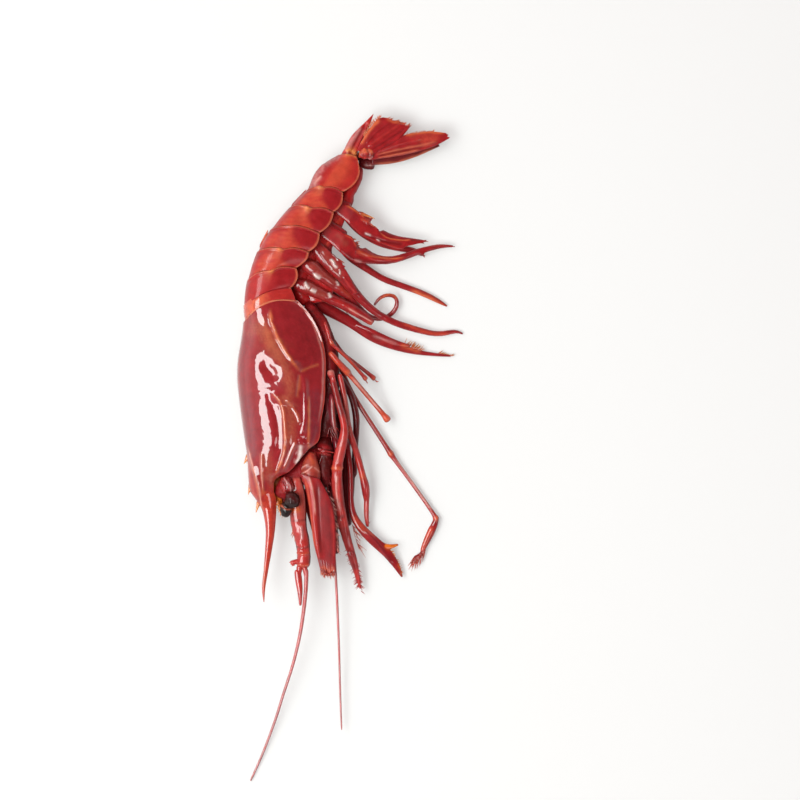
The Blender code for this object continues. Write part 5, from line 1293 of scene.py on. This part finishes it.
def make_blade(name, blade, finish, slot, *nodes):
    """A flat blade between two edges: thick at its root, thin at its rim and ragged at its tip."""
    along, across = np.linspace(0, 1, BLADE_ROWS)[:, None], np.linspace(0, 1, BLADE_COLUMNS)
    left, right = resampled(blade.left, BLADE_ROWS), resampled(blade.right, BLADE_ROWS)
    tip_width = np.linalg.norm(left[-1] - right[-1])
    teeth = abs(ripple(np.stack([across * tip_width, across], axis=1), TOOTH_SIZE, len(name)))
    share = along * (1 - blade.ragged * teeth * soft_step(RAGGED_FROM, 1.0, along))
    edge = on_curve(left, share)
    plan = edge + (on_curve(right, share) - edge) * across[:, None]
    rim = np.sqrt(np.clip(1 - (2 * across - 1) ** 4, 0, 1)) * np.clip((1 - along) * TIP_RATE, 0, 1) ** 0.5
    root_half, tip_half = blade.thickness
    half = (root_half + (tip_half - root_half) * share) * (THIN_RIM + (1 - THIN_RIM) * rim)
    level = np.interp(share, np.linspace(0, 1, len(blade.levels)), blade.levels)
    flat_plan = plan.reshape(-1, 2)
    tint = mottled(blade.base, flat_plan, 5.0, 70)
    tint, height = apply_strokes(flat_plan, tint, blade.strokes)
    rise = height.reshape(half.shape) * (LOW_RIM + (1 - LOW_RIM) * rim)
    top = np.dstack([plan, level + half + rise])
    bottom = np.dstack([plan, level - half])[:, ::-1]
    points = np.concatenate([top, bottom], axis=1)
    tint = tint.reshape(*half.shape, 3)
    tint = np.concatenate([tint, tint[:, ::-1]], axis=1).reshape(-1, 3)
    faces = grid_faces(BLADE_ROWS, 2 * BLADE_COLUMNS, blade_cap)
    mesh = mesh_from(name, points.reshape(-1, 3), faces, tint)
    add_piece(name, mesh, finish, slot, *nodes)


def horn_mesh(name, horns, sides, steps):
    """Pointed cones, widest just past the base, that run from one colour there to another at the tip."""
    points, faces, tint = [], [], []
    turns = np.linspace(0, 2 * np.pi, sides, endpoint=False)
    for base, tip, radius, root_colour, tip_colour in horns:
        base, tip = np.array(base), np.array(tip)
        along = (tip - base) / np.linalg.norm(tip - base)
        side = np.cross(along, (0.0, 0.0, 1.0))
        upright = HORN_FLATNESS * np.cross(side, along)
        first = len(points)
        for share in np.linspace(0, 1, steps + 1):
            reach = radius * min(1.0, 0.3 + 4 * share) * (1 - share) ** 0.8 + HORN_TIP
            centre = base + (tip - base) * share
            for turn in turns:
                points.append(centre + reach * (side * np.cos(turn) + upright * np.sin(turn)))
            tint.extend([root_colour + (tip_colour - root_colour) * share] * sides)
        for low in range(first, first + steps * sides, sides):
            for index in range(sides):
                after = (index + 1) % sides
                faces.append((low + index, low + after, low + sides + after, low + sides + index))
        faces.append(tuple(range(first + steps * sides, first + (steps + 1) * sides)))
        faces.append(tuple(range(first + sides - 1, first - 1, -1)))
    return mesh_from(name, points, faces, np.array(tint))


def fringe_hairs(fringe, random):
    """The hairs of one fringe: seeded, of uneven length and spread about one direction."""
    spots = on_curve(resampled(fringe.path, FRINGE_PLACES), np.sort(random.random(fringe.count)))
    levels = np.linspace(*fringe.levels, fringe.count)
    heading = math.atan2(-fringe.lean[1], fringe.lean[0])
    hairs = []
    for spot, level in zip(spots, levels):
        angle = heading + random.normal(0, HAIR_SPREAD)
        reach = fringe.length * random.uniform(*HAIR_LENGTHS)
        fall = min(HAIR_FALL * reach * random.random(), 0.8 * level)
        tip = (spot[0] + reach * math.cos(angle), spot[1] + reach * math.sin(angle), level - fall)
        hairs.append(Horn((*spot, level), tip, fringe.radius, fringe.root_colour, fringe.tip_colour))
    return hairs


def make_fringes(finish):
    """The bristles, strands and hairs, each table of them as one piece."""
    random = np.random.default_rng(SEED)
    for name, (slot, fringes) in FRINGES.items():
        hairs = [hair for fringe in fringes for hair in fringe_hairs(fringe, random)]
        add_piece(name, horn_mesh(name, hairs, HAIR_SIDES, HAIR_STEPS), finish, slot)


def make_floor():
    """A pale, faintly glowing floor."""
    corners = [(-FLOOR_REACH, -FLOOR_REACH, 0), (FLOOR_REACH, -FLOOR_REACH, 0),
               (FLOOR_REACH, FLOOR_REACH, 0), (-FLOOR_REACH, FLOOR_REACH, 0)]
    mesh = bpy.data.meshes.new("floor")
    mesh.from_pydata(corners, [], [(0, 1, 2, 3)])
    floor = add_object("floor", mesh)
    pale, _ = new_finish(
        "pale_floor", Base_Color=FLOOR_COLOUR, Emission_Color=FLOOR_GLOW,
        Emission_Strength=FLOOR_GLOW_STRENGTH, Roughness=FLOOR_ROUGHNESS, Specular_IOR_Level=DULL_SPECULAR,
    )
    mesh.materials.append(pale)


def make_world():
    """White surroundings that darken straight overhead, and glow on the prawn's back side."""
    world = bpy.data.worlds.new("studio")
    bpy.context.scene.world = world
    world.use_nodes = True
    tree = world.node_tree
    where = add_node(tree, "TexCoord")
    split = add_node(tree, "SeparateXYZ")
    sky = add_node(tree, "ValToRGB")
    stops = sky.color_ramp.elements
    for height, _ in SKY_GREYS[1:-1]:
        stops.new(height)
    for stop, (_, grey) in zip(stops, SKY_GREYS):
        stop.color = (grey, grey, grey, 1.0)
    towards = add_node(tree, "VectorMath")
    towards.operation = "DOT_PRODUCT"
    towards.inputs[1].default_value = BACK_GLOW_FROM
    glow = add_node(tree, "MapRange", From_Min=BACK_GLOW_START, To_Max=BACK_GLOW)
    both = add_node(tree, "VectorMath")
    both.operation = "ADD"
    link(
        tree,
        (where.outputs["Generated"], split.inputs["Vector"]),
        (split.outputs["Z"], sky.inputs["Fac"]),
        (where.outputs["Generated"], towards.inputs[0]),
        (towards.outputs["Value"], glow.inputs["Value"]),
        (sky.outputs["Color"], both.inputs[0]),
        (glow.outputs["Result"], both.inputs[1]),
        (both.outputs["Vector"], tree.nodes["Background"].inputs["Color"]),
    )


def make_light(lamp):
    """A rectangular light that faces the prawn, as bright to look at as its radiance."""
    light = bpy.data.lights.new(lamp.name, "AREA")
    light.color = lamp.tone
    light.shape = "RECTANGLE"
    light.size, light.size_y = lamp.size
    light.energy = lamp.radiance * math.pi * lamp.size[0] * lamp.size[1]
    carrier = add_object(lamp.name, light)
    carrier.location = lamp.place
    carrier.rotation_euler = (-Vector(lamp.place)).to_track_quat("-Z", "Y").to_euler()
    carrier.visible_camera = False
    carrier.visible_glossy = lamp.glossy


def make_camera():
    """A long lens straight above, so that the photo's scale holds over the prawn's height."""
    lens = bpy.data.cameras.new("camera")
    lens.sensor_width = SENSOR
    lens.lens = LENS
    camera = add_object("camera", lens)
    centre = at(PHOTO_CENTRE)[0] * MM
    camera.location = (centre[0], centre[1], CAMERA_HEIGHT)
    bpy.context.scene.camera = camera
    bpy.context.scene.view_settings.view_transform = "Standard"


def main():
    make_floor()
    make_world()
    for lamp in LAMPS:
        make_light(lamp)
    make_camera()
    finishes = {name: wet_finish("wet_" + name, finish) for name, finish in FINISHES.items()}
    make_shield(finishes["shield"])
    for name, (finish, slot, sides, steps, horns) in HORN_PIECES.items():
        add_piece(name, horn_mesh(name, horns, sides, steps), finishes[finish], slot)
    make_waist(finishes["soft"])
    for number in range(1, LAST_SEGMENT + 1):
        make_segment(number, finishes["ring"])
    for name, (finish, slot, blade, *nodes) in BLADE_PIECES.items():
        make_blade(name, blade, finishes[finish], slot, *nodes)
    for node, look in LOOKS.items():
        dress(node, look, finishes[look.finish])
    make_fringes(finishes["soft"])


main()
